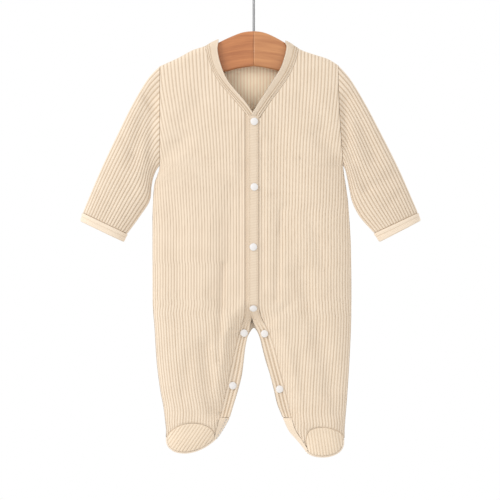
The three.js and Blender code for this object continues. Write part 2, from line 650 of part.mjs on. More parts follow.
// Front panels
function frontPanel(side) {
  const rows = side === LEFT ? BAND_LEFT : BAND_RIGHT;
  const band = rows.map((row) => [Math.abs(row.seam) + CUT_SEAM, row.z]);
  const below = side.foot.side.map(([a, z]) => [a + CUT_SEAM, z]);
  const line = [[band[0][0], 0], ...band, ...below, [below[below.length - 1][0], -700]];
  const seamAt = (z) => cross(line, 1, z, Math.max);
  const bottomAt = bottomOf(side.foot.instep);
  return halfPanel(side, FRONT, seamAt, FORK_Z, topOf(side, FRONT), bottomAt, RIBS_HALF_BODY);
}

// Back panel: both halves, joined along the centre
function backPanel() {
  const band = backBandStations();
  const halves = [LEFT, RIGHT].map((side) => {
    const edge = band.filter((row) => row.xOut * side.sign >= 0).map((row) => [Math.abs(row.xOut), row.zOut]);
    const line = edge.sort((a, b) => b[1] - a[1]).map(([a, z]) => [a && a + FORK_SEAM, z + FORK_SEAM]);
    const last = line[line.length - 1];
    const seamAt = (z) => (z >= line[0][1] ? 0 : cross([...line, [last[0] + 1, -700]], 1, z, Math.max));
    const bottomAt = bottomOf(side.foot.heel);
    return halfPanel(side, BACK, seamAt, BACK_FORK_Z, topOf(side, BACK), bottomAt, RIBS_HALF_BACK);
  });
  const join = (key) => [...halves[0][key].slice(1).reverse(), ...halves[1][key]];
  return { outer: join('outer'), inner: join('inner') };
}

for (const side of [LEFT, RIGHT]) {
  const { outer, inner } = frontPanel(side);
  add(`front_${side.name}`, shell(outer, inner), 'knit');
}
const backGrids = backPanel();
add('back', shell(backGrids.outer, backGrids.inner), 'knit');

// A strip along the cloth: at each station it runs across from one edge to the other.
// lift is the height of its outer face above the panels, and its two ridges run lengthwise.
const ACROSS = [0, 0.25, 0.5, 0.75, 1];
const RIDGES = [0, 1, 0.2, 1, 0];
function strip(stations, wall) {
  const column = (k, insetOf) => stations.map((s) => {
    const inset = insetOf(s);
    const [x, z] = [lerp(s.xIn, s.xOut, k), lerp(s.zIn, s.zOut, k)];
    const edge = s.onRidge ? sideOf(x).ridge(Math.abs(x)) - inset : z;
    const p = onBody(x, edge, s.face, inset);
    return s.onRidge ? [p[0], 0, p[2]] : p;
  });
  return shell(
    ACROSS.map((k, i) => column(k, (s) => -s.lift - BAND_RIDGE * RIDGES[i])),
    [0, 1].map((k) => column(k, (s) => wall - s.lift)),
  );
}
const sideOf = (x) => (x < 0 ? LEFT : RIGHT);

// Snap bands of the front. Over the placket the right one lies on the left one.
function bandStations(rows, level) {
  return rows.map((row) => ({
    xIn: row.inner,
    zIn: row.z,
    xOut: row.seam,
    zOut: row.z,
    face: FRONT,
    lift: lerp(level, BAND_LEVELS.leg, smooth((FORK_Z - 6 - row.z) / 16)),
  }));
}
add('front_band_right', strip(bandStations(BAND_RIGHT, BAND_LEVELS.over), BAND_WALL), 'binding');
add('front_band_left', strip(bandStations(BAND_LEFT, BAND_LEVELS.under), BAND_WALL), 'binding');

// Snap band of the back: up the inside of one leg, over the crotch and down the other
function backBandStations() {
  const leg = (side) => BACK_BAND.map((row) => ({
    xIn: side.sign * (side.inside(row.z) + 0.2),
    zIn: row.z,
    xOut: side.sign * (side.inside(row.z) + row.wide),
    zOut: row.z + row.up,
    face: BACK,
    lift: BAND_LEVELS.leg,
  }));
  const top = { xIn: 0, zIn: CROTCH_Z, xOut: 0, zOut: BACK_FORK_Z - FORK_SEAM };
  const apex = { ...top, face: BACK, lift: BAND_LEVELS.leg };
  return [...leg(LEFT), apex, ...leg(RIGHT).reverse()];
}
add('back_leg_band', strip(backBandStations(), BAND_WALL), 'binding');

// Neck band: from the V up the left front, round the back neck and down the right front to the V
function neckStations() {
  const lift = 0.4;
  const on = (face) => (row) => ({ ...row, face, lift });
  const over = (xIn, xOut, first) => [-OVER_SHOULDER, -2, 0, 2, OVER_SHOULDER].map((d) => ({
    xIn,
    zIn: sideOf(xIn).ridge(Math.abs(xIn)) - Math.abs(d),
    xOut,
    zOut: sideOf(xOut).ridge(Math.abs(xOut)) - Math.abs(d),
    face: d * first > 0 ? FRONT : BACK,
    lift,
    onRidge: d === 0,
  }));
  return [
    ...NECK_BAND_LEFT.map(on(FRONT)),
    ...over(NECK_RIDGE.leftIn, NECK_RIDGE.leftOut, -1),
    ...NECK_BAND_BACK.map(on(BACK)),
    ...over(NECK_RIDGE.rightIn, NECK_RIDGE.rightOut, 1),
    ...NECK_BAND_RIGHT.map(on(FRONT)).reverse(),
  ];
}
add('neck_band', strip(neckStations(), BAND_WALL), 'binding');

// Sleeves: the flat form runs from the armhole to the cuff, and each rib at a constant part of it
function sleeveOf(side, shape) {
  const top = pathOf(shape.top);
  const low = pathOf(shape.low);
  const armZ = [side.ridge(side.side(-140)), ARMPIT_Z];
  // A point at a part k of the way from the top edge to the low edge, t along the sleeve
  return (k, t, face, inset) => {
    const [ax, az] = top(t);
    const [bx, bz] = low(t);
    const width = Math.hypot(bx - ax, bz - az);
    const pull = (Math.max(inset, 0) / width) * 1.3;
    const part = lerp(pull, 1 - pull, k) - (inset < 0 ? (inset * (1 - 2 * k)) / -width : 0);
    const atArm = (1 - smooth(t / SLEEVE_MERGE)) ** 2;
    const armHeight = lerp(armZ[0] - 0.6, armZ[1] + 0.4, part);
    const start = 1 - clamp(t / 0.08, 0, 1);
    const x = lerp(lerp(ax, bx, part), side.sign * (side.side(armHeight) + SEAM), start);
    const z = lerp(lerp(az, bz, part), armHeight, start);
    const round = width * 0.42;
    const tube = (SLEEVE_DEPTH - inset) * rounded(k * width, round) * rounded((1 - k) * width, round);
    const arm = halfDepth(side.sign * side.side(armHeight), armHeight, face, inset);
    let h = lerp(tube, Math.min(arm, tube * 1.6), atArm);
    h = Math.max(h - foldDepth(SLEEVE_FOLDS, face, x, z) * smooth(h / 12), Math.min(tube, 2.6 - inset));
    return [x, face * h, z];
  };
}
const aroundTube = (place, t, inset, count) => {
  const line = Array.from({ length: SECTION_STEPS + 1 }, (_, i) => {
    const value = (1 - Math.cos((Math.PI * i) / SECTION_STEPS)) / 2;
    return { value, at: place(value, t, FRONT, inset) };
  });
  const parts = evenly(line, count);
  return [
    ...parts.map((k) => ({ k, face: FRONT })),
    ...parts.slice(1, -1).reverse().map((k) => ({ k, face: BACK })),
  ];
};
function tubeGrids(place, ts, ribs, insets) {
  const columns = aroundTube(place, 0.5, 0, 2 * ribs);
  const put = (c, t, inset) => place(c.k, t, c.k === 0 || c.k === 1 ? FRONT : c.face, inset);
  const outer = columns.map((c, i) => ts.map((t) => put(c, t, i % 2 ? -insets.rib : 0)));
  const inner = columns.filter((_, i) => i % COARSE === 0).map((c) => ts.map((t) => put(c, t, insets.wall)));
  return { outer, inner };
}

for (const [side, shape] of [[LEFT, SLEEVE_LEFT], [RIGHT, SLEEVE_RIGHT]]) {
  const place = sleeveOf(side, shape);
  const rows = Array.from({ length: SLEEVE_ROWS }, (_, i) => lerp(SLEEVE_START, 1, i / (SLEEVE_ROWS - 1)));
  const ts = [0, ...rows];
  const { outer, inner } = tubeGrids(place, ts, RIBS_HALF_SLEEVE, { rib: RIB_HEIGHT, wall: WALL });
  add(`sleeve_${side.name}`, shell(outer, inner, true), 'knit');
}

// Cuffs: a folded band round each sleeve's end, with two ridges round it
const CUFF_COLUMNS = 12;
const CUFF_ROWS = [
  { along: 0, rise: 0 },
  { along: 0.2, rise: 0.5 },
  { along: 0.45, rise: 0.1 },
  { along: 0.75, rise: 0.5 },
  { along: 1, rise: 0 },
];
for (const [side, shape] of [[LEFT, SLEEVE_LEFT], [RIGHT, SLEEVE_RIGHT]]) {
  const sleeve = sleeveOf(side, shape);
  const end = { top: shape.top[shape.top.length - 1], low: shape.low[shape.low.length - 1] };
  const { topX, topZ, lowX, lowZ } = shape.cuff;
  const put = (c, row, inset) => {
    const along = lerp(0.04, 1, row.along);
    const p = sleeve(c.k, 1, c.face, 0);
    const shiftX = lerp(topX - end.top[0], lowX - end.low[0], c.k);
    const shiftZ = lerp(topZ - end.top[1], lowZ - end.low[1], c.k);
    const width = Math.hypot(topX - lowX, topZ - lowZ);
    const grow = 1 - (2 * inset) / width;
    const centre = [lerp(end.top[0], end.low[0], 0.5), lerp(end.top[1], end.low[1], 0.5)];
    const x = centre[0] + (p[0] - centre[0]) * grow + shiftX * along;
    const z = centre[1] + (p[2] - centre[1]) * grow + shiftZ * along;
    return [x, p[1] * (1 - inset / SLEEVE_DEPTH), z];
  };
  const columns = aroundTube(sleeve, 1, 0, CUFF_COLUMNS);
  const outer = columns.map((c) => CUFF_ROWS.map((row) => put(c, row, -CUFF_RISE - row.rise)));
  const half = columns.filter((_, i) => i % 2 === 0);
  const inner = half.map((c) => CUFF_ROWS.map((row) => put(c, row, CUFF_WALL - CUFF_RISE)));
  add(`cuff_${side.name}`, shell(outer, inner, true), 'binding');
}

// A path moved inwards from the foot's outline by a distance
function inwards(side, u, distance) {
  const [a, z] = side.outline(u);
  const [b, y] = side.outline(Math.min(u + 0.01, 1));
  const [c, w] = side.outline(Math.max(u - 0.01, 0));
  const length = Math.hypot(b - c, y - w);
  return [a - ((y - w) / length) * distance, z + ((b - c) / length) * distance];
}

// Where the outline passes the inner end of the instep seam
function splitOf(side) {
  const [a, z] = side.foot.instep[side.foot.instep.length - 1];
  let best = 0;
  for (let i = 0; i <= EDGE_STEPS * 2; i += 1) {
    const u = i / (EDGE_STEPS * 2);
    const [p, q] = [side.outline(u), side.outline(best)];
    if (Math.hypot(p[0] - a, p[1] - z) < Math.hypot(q[0] - a, q[1] - z)) best = u;
  }
  return best;
}

const VAMP_ROWS = 5;
const VAMP_MIDDLE = [83, -630];
const VAMP_EDGE = 0.9; // gap between the upper and the sole's edge
const VAMP_END = 0.985; // part of the outline at which its outer end lies
const VAMP_CORNER = 0.03; // and how far past the split its inner corner lies
const VAMP_GAP = 0.06; // the upper is drawn in by this part, which leaves the gap of its seam
function vampOf(side) {
  const instep = pathOf(side.foot.instep);
  const split = splitOf(side);
  const column = (k, insetOf) => Array.from({ length: VAMP_ROWS + 1 }, (_, r) => {
    const [x, y0] = instep(lerp(0.02, 0.98, k));
    const [a, z] = [lerp(x, VAMP_MIDDLE[0], VAMP_GAP), lerp(y0, VAMP_MIDDLE[1], VAMP_GAP)];
    const [b, y] = inwards(side, lerp(VAMP_END, split + VAMP_CORNER, k), SOLE_LIP + VAMP_EDGE);
    const v = r / VAMP_ROWS;
    return onBody(side.sign * lerp(a, b, v), lerp(z, y, v), FRONT, insetOf);
  });
  const count = 2 * RIBS_VAMP;
  const outer = Array.from({ length: count + 1 }, (_, i) => column(i / count, i % 2 ? -RIB_HEIGHT : 0));
  const inner = Array.from({ length: RIBS_VAMP + 1 }, (_, i) => column(i / RIBS_VAMP, WALL));
  return shell(outer, inner);
}

// The sole turns up a little round the edge, and at the heel's inner side it reaches the front panel
const SOLE_ACROSS = [
  { turn: 1, back: 0 },
  { turn: 0.4, back: 0 },
  { turn: 0, back: 0 },
  { turn: 0.4, back: 0.06 },
  { turn: 1, back: 0.25 },
  { turn: 1, back: 0.5 },
  { turn: 1, back: 0.75 },
  { turn: 1, back: 1 },
];
const SOLE_STEPS = 16;
function soleOf(side) {
  const split = splitOf(side);
  const heel = pathOf(side.foot.heel);
  const inner = pathOf([...side.foot.side, side.foot.instep[side.foot.instep.length - 1]]);
  const column = (u, insetOf) => SOLE_ACROSS.map(({ turn, back }, i) => {
    const edge = inwards(side, u, lerp(insetOf, SOLE_LIP, i <= 2 ? turn : Math.min(turn, 0.999)));
    if (i <= 2) {
      if (u >= split) return onBody(side.sign * edge[0], edge[1], FRONT, insetOf);
      const seam = inner(u / split);
      const flat = [lerp(edge[0], seam[0], turn), lerp(edge[1], seam[1], turn)];
      return onBody(side.sign * flat[0], flat[1], FRONT, insetOf);
    }
    const [x, y] = heel(u);
    const seam = [lerp(x, VAMP_MIDDLE[0], VAMP_GAP), lerp(y, VAMP_MIDDLE[1], VAMP_GAP)];
    const [a, z] = [lerp(edge[0], seam[0], back), lerp(edge[1], seam[1] - CUT_SEAM, back)];
    return onBody(side.sign * a, z, BACK, insetOf);
  });
  const at = (i) => lerp(SOLE_REACH[0], SOLE_REACH[1], i / SOLE_STEPS);
  const outer = Array.from({ length: SOLE_STEPS + 1 }, (_, i) => column(at(i), 0));
  const inside = Array.from({ length: SOLE_STEPS + 1 }, (_, i) => column(at(i), WALL));
  return shell(outer, inside);
}
for (const side of [LEFT, RIGHT]) {
  add(`vamp_${side.name}`, vampOf(side), 'knit');
  add(`sole_${side.name}`, soleOf(side), 'binding');
}

// Snap caps: low domes on the upper bands
function snapGeometry() {
  const profile = [[0, 0], [0.97, 0.1], [1, 0.4], [0.72, 0.85], [0, 1]];
  const points = profile.map(([r, h]) => new THREE.Vector2(r * SNAP_RADIUS, h * SNAP_HEIGHT));
  return new THREE.LatheGeometry(points, SNAP_SEGMENTS);
}
SNAPS.forEach(({ x, z }, i) => {
  const level = lerp(BAND_LEVELS.over, BAND_LEVELS.leg, smooth((FORK_Z - 6 - z) / 16));
  const at = (dx, dz) => new THREE.Vector3(...onBody(x + dx, z + dz, FRONT, -level - BAND_RIDGE));
  const across = at(SNAP_RADIUS, 0).sub(at(-SNAP_RADIUS, 0));
  const up = at(0, SNAP_RADIUS).sub(at(0, -SNAP_RADIUS));
  const outward = across.cross(up).normalize();
  const rim = [[-1, 0], [1, 0], [0, -1], [0, 1], [0.7, 0.7], [-0.7, 0.7], [0.7, -0.7], [-0.7, -0.7]];
  const heights = rim.map(([dx, dz]) => at(dx * SNAP_RADIUS, dz * SNAP_RADIUS).sub(at(0, 0)).dot(outward));
  const mesh = add(`snap_${i + 1}`, snapGeometry(), 'snap');
  mesh.quaternion.setFromUnitVectors(new THREE.Vector3(0, 1, 0), outward);
  mesh.position.copy(at(0, 0).addScaledVector(outward, SEAM + Math.max(0, ...heights)));
});

// Hanger: one outline, parted at the centre and bored for the hook's stem
function solidOf(geometry) {
  for (const name of ['normal', 'uv']) geometry.deleteAttribute(name);
  const merged = BufferGeometryUtils.mergeVertices(geometry, 1e-4);
  return new wasm.Manifold(new wasm.Mesh({
    numProp: 3,
    vertProperties: merged.attributes.position.array,
    triVerts: new Uint32Array(merged.index.array),
  }));
}
function geometryOf(solid) {
  const mesh = solid.getMesh();
  const geometry = new THREE.BufferGeometry();
  geometry.setAttribute('position', new THREE.BufferAttribute(new Float32Array(mesh.vertProperties), 3));
  geometry.setIndex(Array.from(mesh.triVerts));
  return geometry;
}
function armOutline(points, sign) {
  const places = points.map(([a, z]) => new THREE.Vector3(sign * a, z, 0));
  const line = new THREE.CatmullRomCurve3(places, false, 'centripetal');
  return line.getPoints(WOOD_STEPS).map((p) => new THREE.Vector2(p.x, p.y));
}
function hangerOutline() {
  const left = armOutline(WOOD_LEFT, LEFT.sign);
  return new THREE.Shape([...left, ...armOutline(WOOD_RIGHT, RIGHT.sign).slice(1, -1).reverse()]);
}
const plank = new THREE.ExtrudeGeometry(hangerOutline(), {
  depth: 2 * (WOOD_HALF - WOOD_ROUND),
  bevelThickness: WOOD_ROUND,
  bevelSize: WOOD_ROUND,
  bevelOffset: -WOOD_ROUND,
  bevelSegments: 2,
  steps: 1,
});
plank.rotateX(Math.PI / 2);
plank.translate(0, WOOD_HALF - WOOD_ROUND, 0);
const wood = solidOf(plank);
const bore = new THREE.CylinderGeometry(WIRE_RADIUS + SEAM, WIRE_RADIUS + SEAM, 100, 12);
bore.rotateX(Math.PI / 2);
bore.translate(0, 0, STEM_END_Z - SEAM + 50);
const bored = wood.subtract(solidOf(bore));
const HALF_BOX = 150;
for (const side of [LEFT, RIGHT]) {
  const box = new THREE.BoxGeometry(HALF_BOX, HALF_BOX, HALF_BOX);
  box.translate(side.sign * (HALF_BOX / 2 + SEAM / 2), 0, -HALF_BOX / 2 - 60);
  const half = geometryOf(bored.intersect(solidOf(box)));
  add(`hanger_arm_${side.name}`, half, side === LEFT ? 'woodLeft' : 'woodRight');
}

// Hook: round the rail, back to the middle in a reverse bend, and straight down into the wood
class HookLine extends THREE.Curve {
  getPoint(t) {
    const centreZ = WIRE_RADIUS - HOOK_RADIUS;
    const turn = THREE.MathUtils.degToRad(HOOK_TIP_ANGLE - HOOK_END_ANGLE);
    const back = THREE.MathUtils.degToRad(-HOOK_END_ANGLE);
    const stemTop = centreZ - 2 * HOOK_RADIUS * Math.sin(back);
    const lengths = [turn * HOOK_RADIUS, back * HOOK_RADIUS, stemTop - STEM_END_Z];
    let s = t * (lengths[0] + lengths[1] + lengths[2]);
    if (s <= lengths[0]) {
      const angle = THREE.MathUtils.degToRad(HOOK_TIP_ANGLE) - s / HOOK_RADIUS;
      return new THREE.Vector3(HOOK_RADIUS * Math.cos(angle), 0, centreZ + HOOK_RADIUS * Math.sin(angle));
    }
    s -= lengths[0];
    if (s <= lengths[1]) {
      const angle = Math.PI - back + s / HOOK_RADIUS;
      const x = 2 * HOOK_RADIUS * Math.cos(back) + HOOK_RADIUS * Math.cos(angle);
      return new THREE.Vector3(x, 0, stemTop + HOOK_RADIUS * Math.sin(angle));
    }
    return new THREE.Vector3(0, 0, stemTop - (s - lengths[1]));
  }
}
const wire = new THREE.Shape();
wire.absarc(0, 0, WIRE_RADIUS, 0, 2 * Math.PI);
add('hanger_hook', new THREE.ExtrudeGeometry(wire, {
  extrudePath: new HookLine(),
  steps: 30,
  curveSegments: 4,
  bevelEnabled: false,
}), 'wire');

export default group;
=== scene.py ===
"""A baby romper on a small wooden hanger, dressed over its CAD model.

The cloth is worked out in millimetres from nearly the CAD model's tables, with +Z up and the
front facing -Y, and goes into Blender in metres. The origin is the inside top of the hook.
"""

import math

import bpy
import numpy as np
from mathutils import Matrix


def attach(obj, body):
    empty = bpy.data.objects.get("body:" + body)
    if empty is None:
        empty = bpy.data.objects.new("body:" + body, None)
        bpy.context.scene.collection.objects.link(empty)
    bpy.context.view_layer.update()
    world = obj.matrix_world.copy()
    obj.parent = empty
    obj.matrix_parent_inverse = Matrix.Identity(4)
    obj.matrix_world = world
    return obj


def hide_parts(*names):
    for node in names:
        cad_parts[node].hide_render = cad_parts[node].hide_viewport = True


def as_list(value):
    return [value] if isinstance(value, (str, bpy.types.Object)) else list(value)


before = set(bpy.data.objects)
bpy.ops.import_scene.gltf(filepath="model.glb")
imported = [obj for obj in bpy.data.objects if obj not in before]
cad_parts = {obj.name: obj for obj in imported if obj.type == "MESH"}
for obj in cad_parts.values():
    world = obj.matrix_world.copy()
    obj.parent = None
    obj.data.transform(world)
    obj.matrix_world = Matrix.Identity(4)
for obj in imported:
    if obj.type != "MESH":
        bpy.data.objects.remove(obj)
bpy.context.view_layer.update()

MM = 0.001
FRONT, BACK = -1, 1

# Cloth, in mm
WALL = 2.0
RIB_HEIGHT = 0.75
COLUMNS_HALF_BODY = 30 * 6
COLUMNS_HALF_BACK = 32 * 6
RIBS_HALF_SLEEVE = 18
RIB_SAMPLES = 6  # columns of points to a rib
INNER_STEP = 3  # outer columns to one inner column
SEAM = 0.3  # gap between front and back at the side seams
SEAM_SHADE_TONE = 0.6  # how light the painted rib shade is beside a seam, from groove 0 to crest 1
CUT_SEAM = 0.02  # gap at a slanting seam
EDGE_ROLL = 0.35  # how far a panel's edge turns in at a seam
EDGE_WIDTH = 1.8  # over this width
BAND_WALL = 1.6
BAND_OVER, BAND_UNDER, BAND_LEG = 1.15, -0.8, 0.3
NECK_LIFT = 0.5
NECK_OVERLAP, NECK_TUCK = 0.75, 0.4  # at the V, the right end lies higher and the left end lower
SNAP_RADIUS = 5.0
SNAP_HEIGHT = 2.1
SNAP_STANDOFF = 0.3  # from the band's surface to the foot of the cap
THREAD_RADIUS = 0.24
PLACKET_STITCH = 1.9  # from the placket's edges to its rows of stitches
NECK_COLUMNS = 30  # points across the neck band

# Levels of the body
SHOULDER_Z = -150
SHOULDER_RADIUS = 11
SHOULDER_SLOPE = 0.1
ARMPIT_Z = -270
ARMHOLE_SPREAD = 13
CROTCH_Z = -483
FORK_Z = -467
BACK_FORK_Z = -465
ANKLE_Z = -600
FOOT_BLEND = 14
FOOT_ROUND = 25
BAND_HALF = 3.1
BAND_FLAT = 9
BAND_RISE = 26
TOE_Z, TOE_FORWARD, TOE_DROP = -652, 20, 38

# Rib pitch at the waist, in mm, and how the hanger spreads the ribs above it
RIB_PITCH = {"left": 3.78, "right": 4.0, "back": 3.9}
SPREAD = {
    "z": [-110, -165, -200, -256, -300, -360, -480],
    "left": [1.32, 1.25, 1.18, 1.07, 1.03, 1.0, 1.0],
    "right": [1.17, 1.14, 1.1, 1.04, 1.02, 1.0, 1.0],
    "back": [1.12, 1.1, 1.08, 1.04, 1.02, 1.0, 1.0],
}
NOMINAL_PITCH = 4.0  # a rib's width in the cloth's UVs
# Half depth of the garment and the rounding of its side edge, by height
SECTIONS = {
    "z": [-95, -150, -220, -320, -420, -480, -540, -590, -615, -652],
    "depth": [13, 14, 15.5, 17.5, 18, 16.5, 15, 15.5, 18.5, 18.5],
    "rounding": [60, 60, 60, 60, 60, 50, 40, 34, 26, 26],
}
# Half width from the centre to the side seam
SIDES = {
    "z": [-130, -180, -230, -270, -294, -313, -340, -382, -446, -482, -524, -566, -587, -608, -619, -630, -652],
    "left": [123.3, 123.3, 123.3, 124.0, 131.0, 132.6, 133.4, 133.4, 133.3, 130.7, 128.1, 122.9, 118.9, 116.3,
             115.3, 116.0, 112.0],
    "right": [110.5, 111.4, 114.3, 117.6, 121.0, 123.7, 125.8, 128.1, 128.6, 127.9, 126.0, 123.4, 121.8, 120.0,
              119.4, 119.4, 117.0],
}
# The same to the inside of the leg
INSIDES = {
    "z": [-470, -483, -493, -503, -524, -545, -566, -587, -602, -619, -652],
    "left": [-10, 0, 7.6, 10.2, 12.8, 15.5, 20.7, 27.2, 31.8, 41.7, 80.0],
    "right": [-10, 0.9, 6.8, 9.4, 14.7, 21.2, 26.5, 31.7, 38.3, 46.1, 78.0],
}
# Top of the shoulders over the hanger, by distance from the centre
RIDGE = {
    "x": [0, 36, 46.5, 55.3, 64, 80.4, 98, 115, 129.4],
    "left": [-96, -99.2, -102.1, -105.9, -110.9, -116.5, -126, -133.9, -140.5],
    "right": [-97, -102, -106.2, -112, -117, -122.6, -128.5, -139.2, -148],
}
# The neck band's edges from the V to the shoulder, as x in, z in, x out, z out
NECK_LEFT = [
    (-0.8, -200.4, -5.4, -208.2), (-9.0, -188.4, -17.6, -192.3), (-16.5, -179.2, -27.3, -181.0),
    (-24.3, -170.2, -36.2, -170.6), (-31.4, -161.7, -43.8, -161.7), (-36.6, -153.4, -49.8, -152),
    (-40.3, -145.3, -55.1, -141.5), (-43.6, -136, -58.3, -132), (-46.2, -126, -60.6, -124.4),
    (-47.6, -115, -62.3, -117.3),
]
NECK_RIGHT = [
    (-4.4, -204.2, 8.2, -206.6), (0.3, -196.6, 11.0, -201.6), (5.6, -187.9, 16.6, -193.7),
    (11.1, -179.2, 22.2, -185.3), (17.5, -169.4, 29.1, -176.1), (23.7, -159.1, 36.0, -166.6),
    (29.8, -150.2, 43.2, -156.3), (35.0, -141.5, 48.4, -147.8), (38.9, -131, 53.0, -137.4),
    (41.8, -120.3, 56.2, -128), (42.6, -111, 58.0, -119.5),
]
NECK_BACK = [
    (-42.4, -109.5, -60.4, -117.5), (-38, -111.5, -57.5, -121), (-30, -114.6, -49.0, -126.6),
    (-18, -117.2, -29.5, -132.1), (0, -118.5, 0, -135.0), (18, -117.2, 29.5, -131.9),
    (28, -114.6, 48.5, -123.6), (35, -112, 55.6, -117.8),
]
NECK_OVER = {"left": (-46.5, -63.5), "right": (41.5, 58.4)}
# The front's snap bands from the V to the ankle: the edge inside and the one at the seam
BAND_RIGHT = {
    "z": [-207.4, -300, -400, -445, -452, -458, -467, -476, -483, -495, -511, -535, -566, -584, -600],
    "inner": [-7.1, -7.1, -7.1, -7.1, -6.8, -6.0, -3.0, -0.2, 3.3, 8.7, 12.8, 19.4, 27.8, 32.2, 38.2],
    "seam": [6.4, 6.4, 6.4, 6.4, 6.5, 6.9, 9.1, 13.2, 17.4, 22.6, 27.5, 33.4, 41.5, 45.5, 49.2],
}
BAND_LEFT = {
    "z": [-207.6, -300, -400, -445, -452, -458, -467, -476, -484, -495, -511, -535, -566, -584, -600],
    "inner": [2.9, 2.9, 2.9, 2.9, 2.6, 1.6, -1.2, -4.2, -5.6, -8.4, -11.6, -14.8, -21.6, -26.8, -31.6],
    "seam": [-11.5, -11.5, -11.5, -11.5, -11.5, -11.8, -12.4, -14.6, -17.4, -20.6, -24.4, -29.8, -36.4, -40.4,
             -44.0],
}
# The back's snap band: width at each height and how far its seam lies above its edge
BACK_BAND = {
    "z": [-600, -584, -566, -545, -524, -508, -497, -489],
    "wide": [13.5, 13.5, 13.5, 13.5, 13.5, 13.5, 12.6, 11],
    "up": [0, 0, 0, 0, 0, 0.5, 5, 8.5],
}
# Sleeves: edge from the shoulder, edge from the armpit, and the cuff's end at both
SLEEVES = {
    "left": {
        "top": [(-124.6, -139.2), (-137.3, -152.3), (-156.9, -183.7), (-180.5, -230.9), (-200.2, -272.8),
                (-224.9, -331.3)],
        "low": [(-125.6, -268), (-132.6, -285), (-134.8, -296), (-137.2, -314.7), (-150.4, -335.7),
                (-167.0, -358.6)],
        "cuff": [(-227.5, -342.7), (-172.3, -369.1)],
    },
    "right": {
        "top": [(112.0, -138.6), (124.7, -152.3), (144.4, -183.7), (169.3, -230.9), (190.2, -272.8),
                (215.8, -331.3)],
        "low": [(119.2, -268), (123.0, -285), (126.0, -300), (130.0, -317), (139.6, -335.7), (158.8, -357.7)],
        "cuff": [(218.9, -341.9), (166.6, -369.1)],
    },
}
SLEEVE_DEPTH = 12
SLEEVE_MERGE = 0.35
CUFF_WALL = 2.4
CUFF_RISE = 0.7
# Feet, by distance from the centre
FEET = {
    "left": {
        "instep": [(114.6, -626.5), (109.6, -619.2), (102.6, -613.4), (91.4, -608.4), (79.6, -607.1),
                   (66.5, -608.9), (55.5, -614.4), (51.6, -621.2), (51.4, -629.2)],
        "outline": [(31.7, -601.4), (41.7, -618.6), (49.5, -629.1), (63.9, -639.6), (78.3, -645.2),
                    (91.4, -646.9), (103.2, -645.1), (109.8, -641.5), (113.7, -637.0), (115.6, -630.5),
                    (115.3, -624.5)],
        "heel": [(45.9, -601.5), (58, -598.5), (76, -597.5), (97, -602), (111.5, -617.5)],
        "side": [(44.4, -600.4), (48.4, -613), (51.6, -627.6)],
        "rib_tilt": -35,
    },
    "right": {
        "instep": [(118.4, -628), (114.4, -620.6), (106.0, -615.9), (92.2, -612.6), (81.5, -613.4),
                   (73.6, -616.5), (69.2, -623.9), (68.4, -634.3), (70.6, -641.6)],
        "outline": [(38.1, -601.5), (46.1, -618.6), (55.3, -629.1), (64.5, -639.6), (69.7, -646.1),
                    (77.6, -650.1), (89.3, -651.6), (99.8, -650.6), (109.0, -647.4), (114.9, -642.9),
                    (118.2, -637.0), (119.3, -627.5)],
        "heel": [(51.4, -601.3), (64, -600), (82, -599.5), (102, -604.5), (115.5, -619)],
        "side": [(49.6, -600.4), (54.5, -616), (63.5, -630), (69.8, -639.8)],
        "rib_tilt": 8,
    },
}
SOLE_LIP = 2.4
VAMP_MIDDLE = (83, -630)
# Soft folds: face, from x z, to x z, half width, depth. The CAD model has the widest ones too.
FOLDS = [
    (FRONT, -62, -508, -54, -590, 11, 4.5),
    (FRONT, 62, -410, 104, -560, 13, 4.0),
    (FRONT, -28, -300, -34, -455, 13, 2.6),
    (FRONT, 30, -230, 44, -350, 16, 2.4),
    (FRONT, -118, -262, -92, -236, 12, 3.5),
    (FRONT, 112, -262, 88, -228, 12, 3.5),
    (FRONT, -104, -330, -96, -470, 17, 2.5),
    (BACK, -46, -250, -60, -420, 18, 3.0),
    (BACK, 40, -270, 66, -440, 18, 3.0),
    (BACK, 70, -500, 76, -585, 12, 4.0),
    (BACK, -78, -495, -70, -580, 12, 4.0),
    (FRONT, -40, -400, -46, -525, 4.5, 2.6),
    (FRONT, 11.5, -235, 12, -430, 3.6, 1.1),
    (FRONT, -16.5, -225, -17, -440, 3.6, 1.1),
    (FRONT, 36, -330, 30, -445, 5, 1.9),
    (FRONT, -16, -474, -58, -436, 6, 1.3),
    (FRONT, 18, -476, 50, -448, 6, 1.2),
    (FRONT, 72, -330, 92, -405, 9, 1.5),
    (FRONT, -84, -520, -92, -572, 8, 1.4),
    (FRONT, 60, -520, 66, -588, 8, 1.8),
    (FRONT, 96, -560, 112, -600, 7, 1.2),
    (FRONT, -70, -186, -98, -214, 10, 1.3),
    (FRONT, 64, -182, 92, -205, 10, 1.2),
    (FRONT, -56, -340, -66, -452, 9, -0.9),
    (FRONT, 84, -440, 70, -500, 8, -0.9),
    (BACK, -8, -150, -14, -260, 14, 1.4),
    (BACK, 18, -440, 52, -480, 7, 2.4),
    (BACK, -18, -440, -56, -478, 7, 2.3),
    (BACK, -100, -280, -84, -350, 10, 1.8),
    (BACK, 96, -285, 80, -340, 10, 1.6),
    (BACK, 4, -330, 12, -430, 10, -1.6),
    (BACK, -30, -280, -38, -455, 6, 2.2),
    (BACK, 34, -300, 26, -440, 5, 1.9),
    (BACK, -96, -520, -104, -575, 8, 1.4),
    (BACK, 98, -525, 104, -570, 8, 1.3),
]
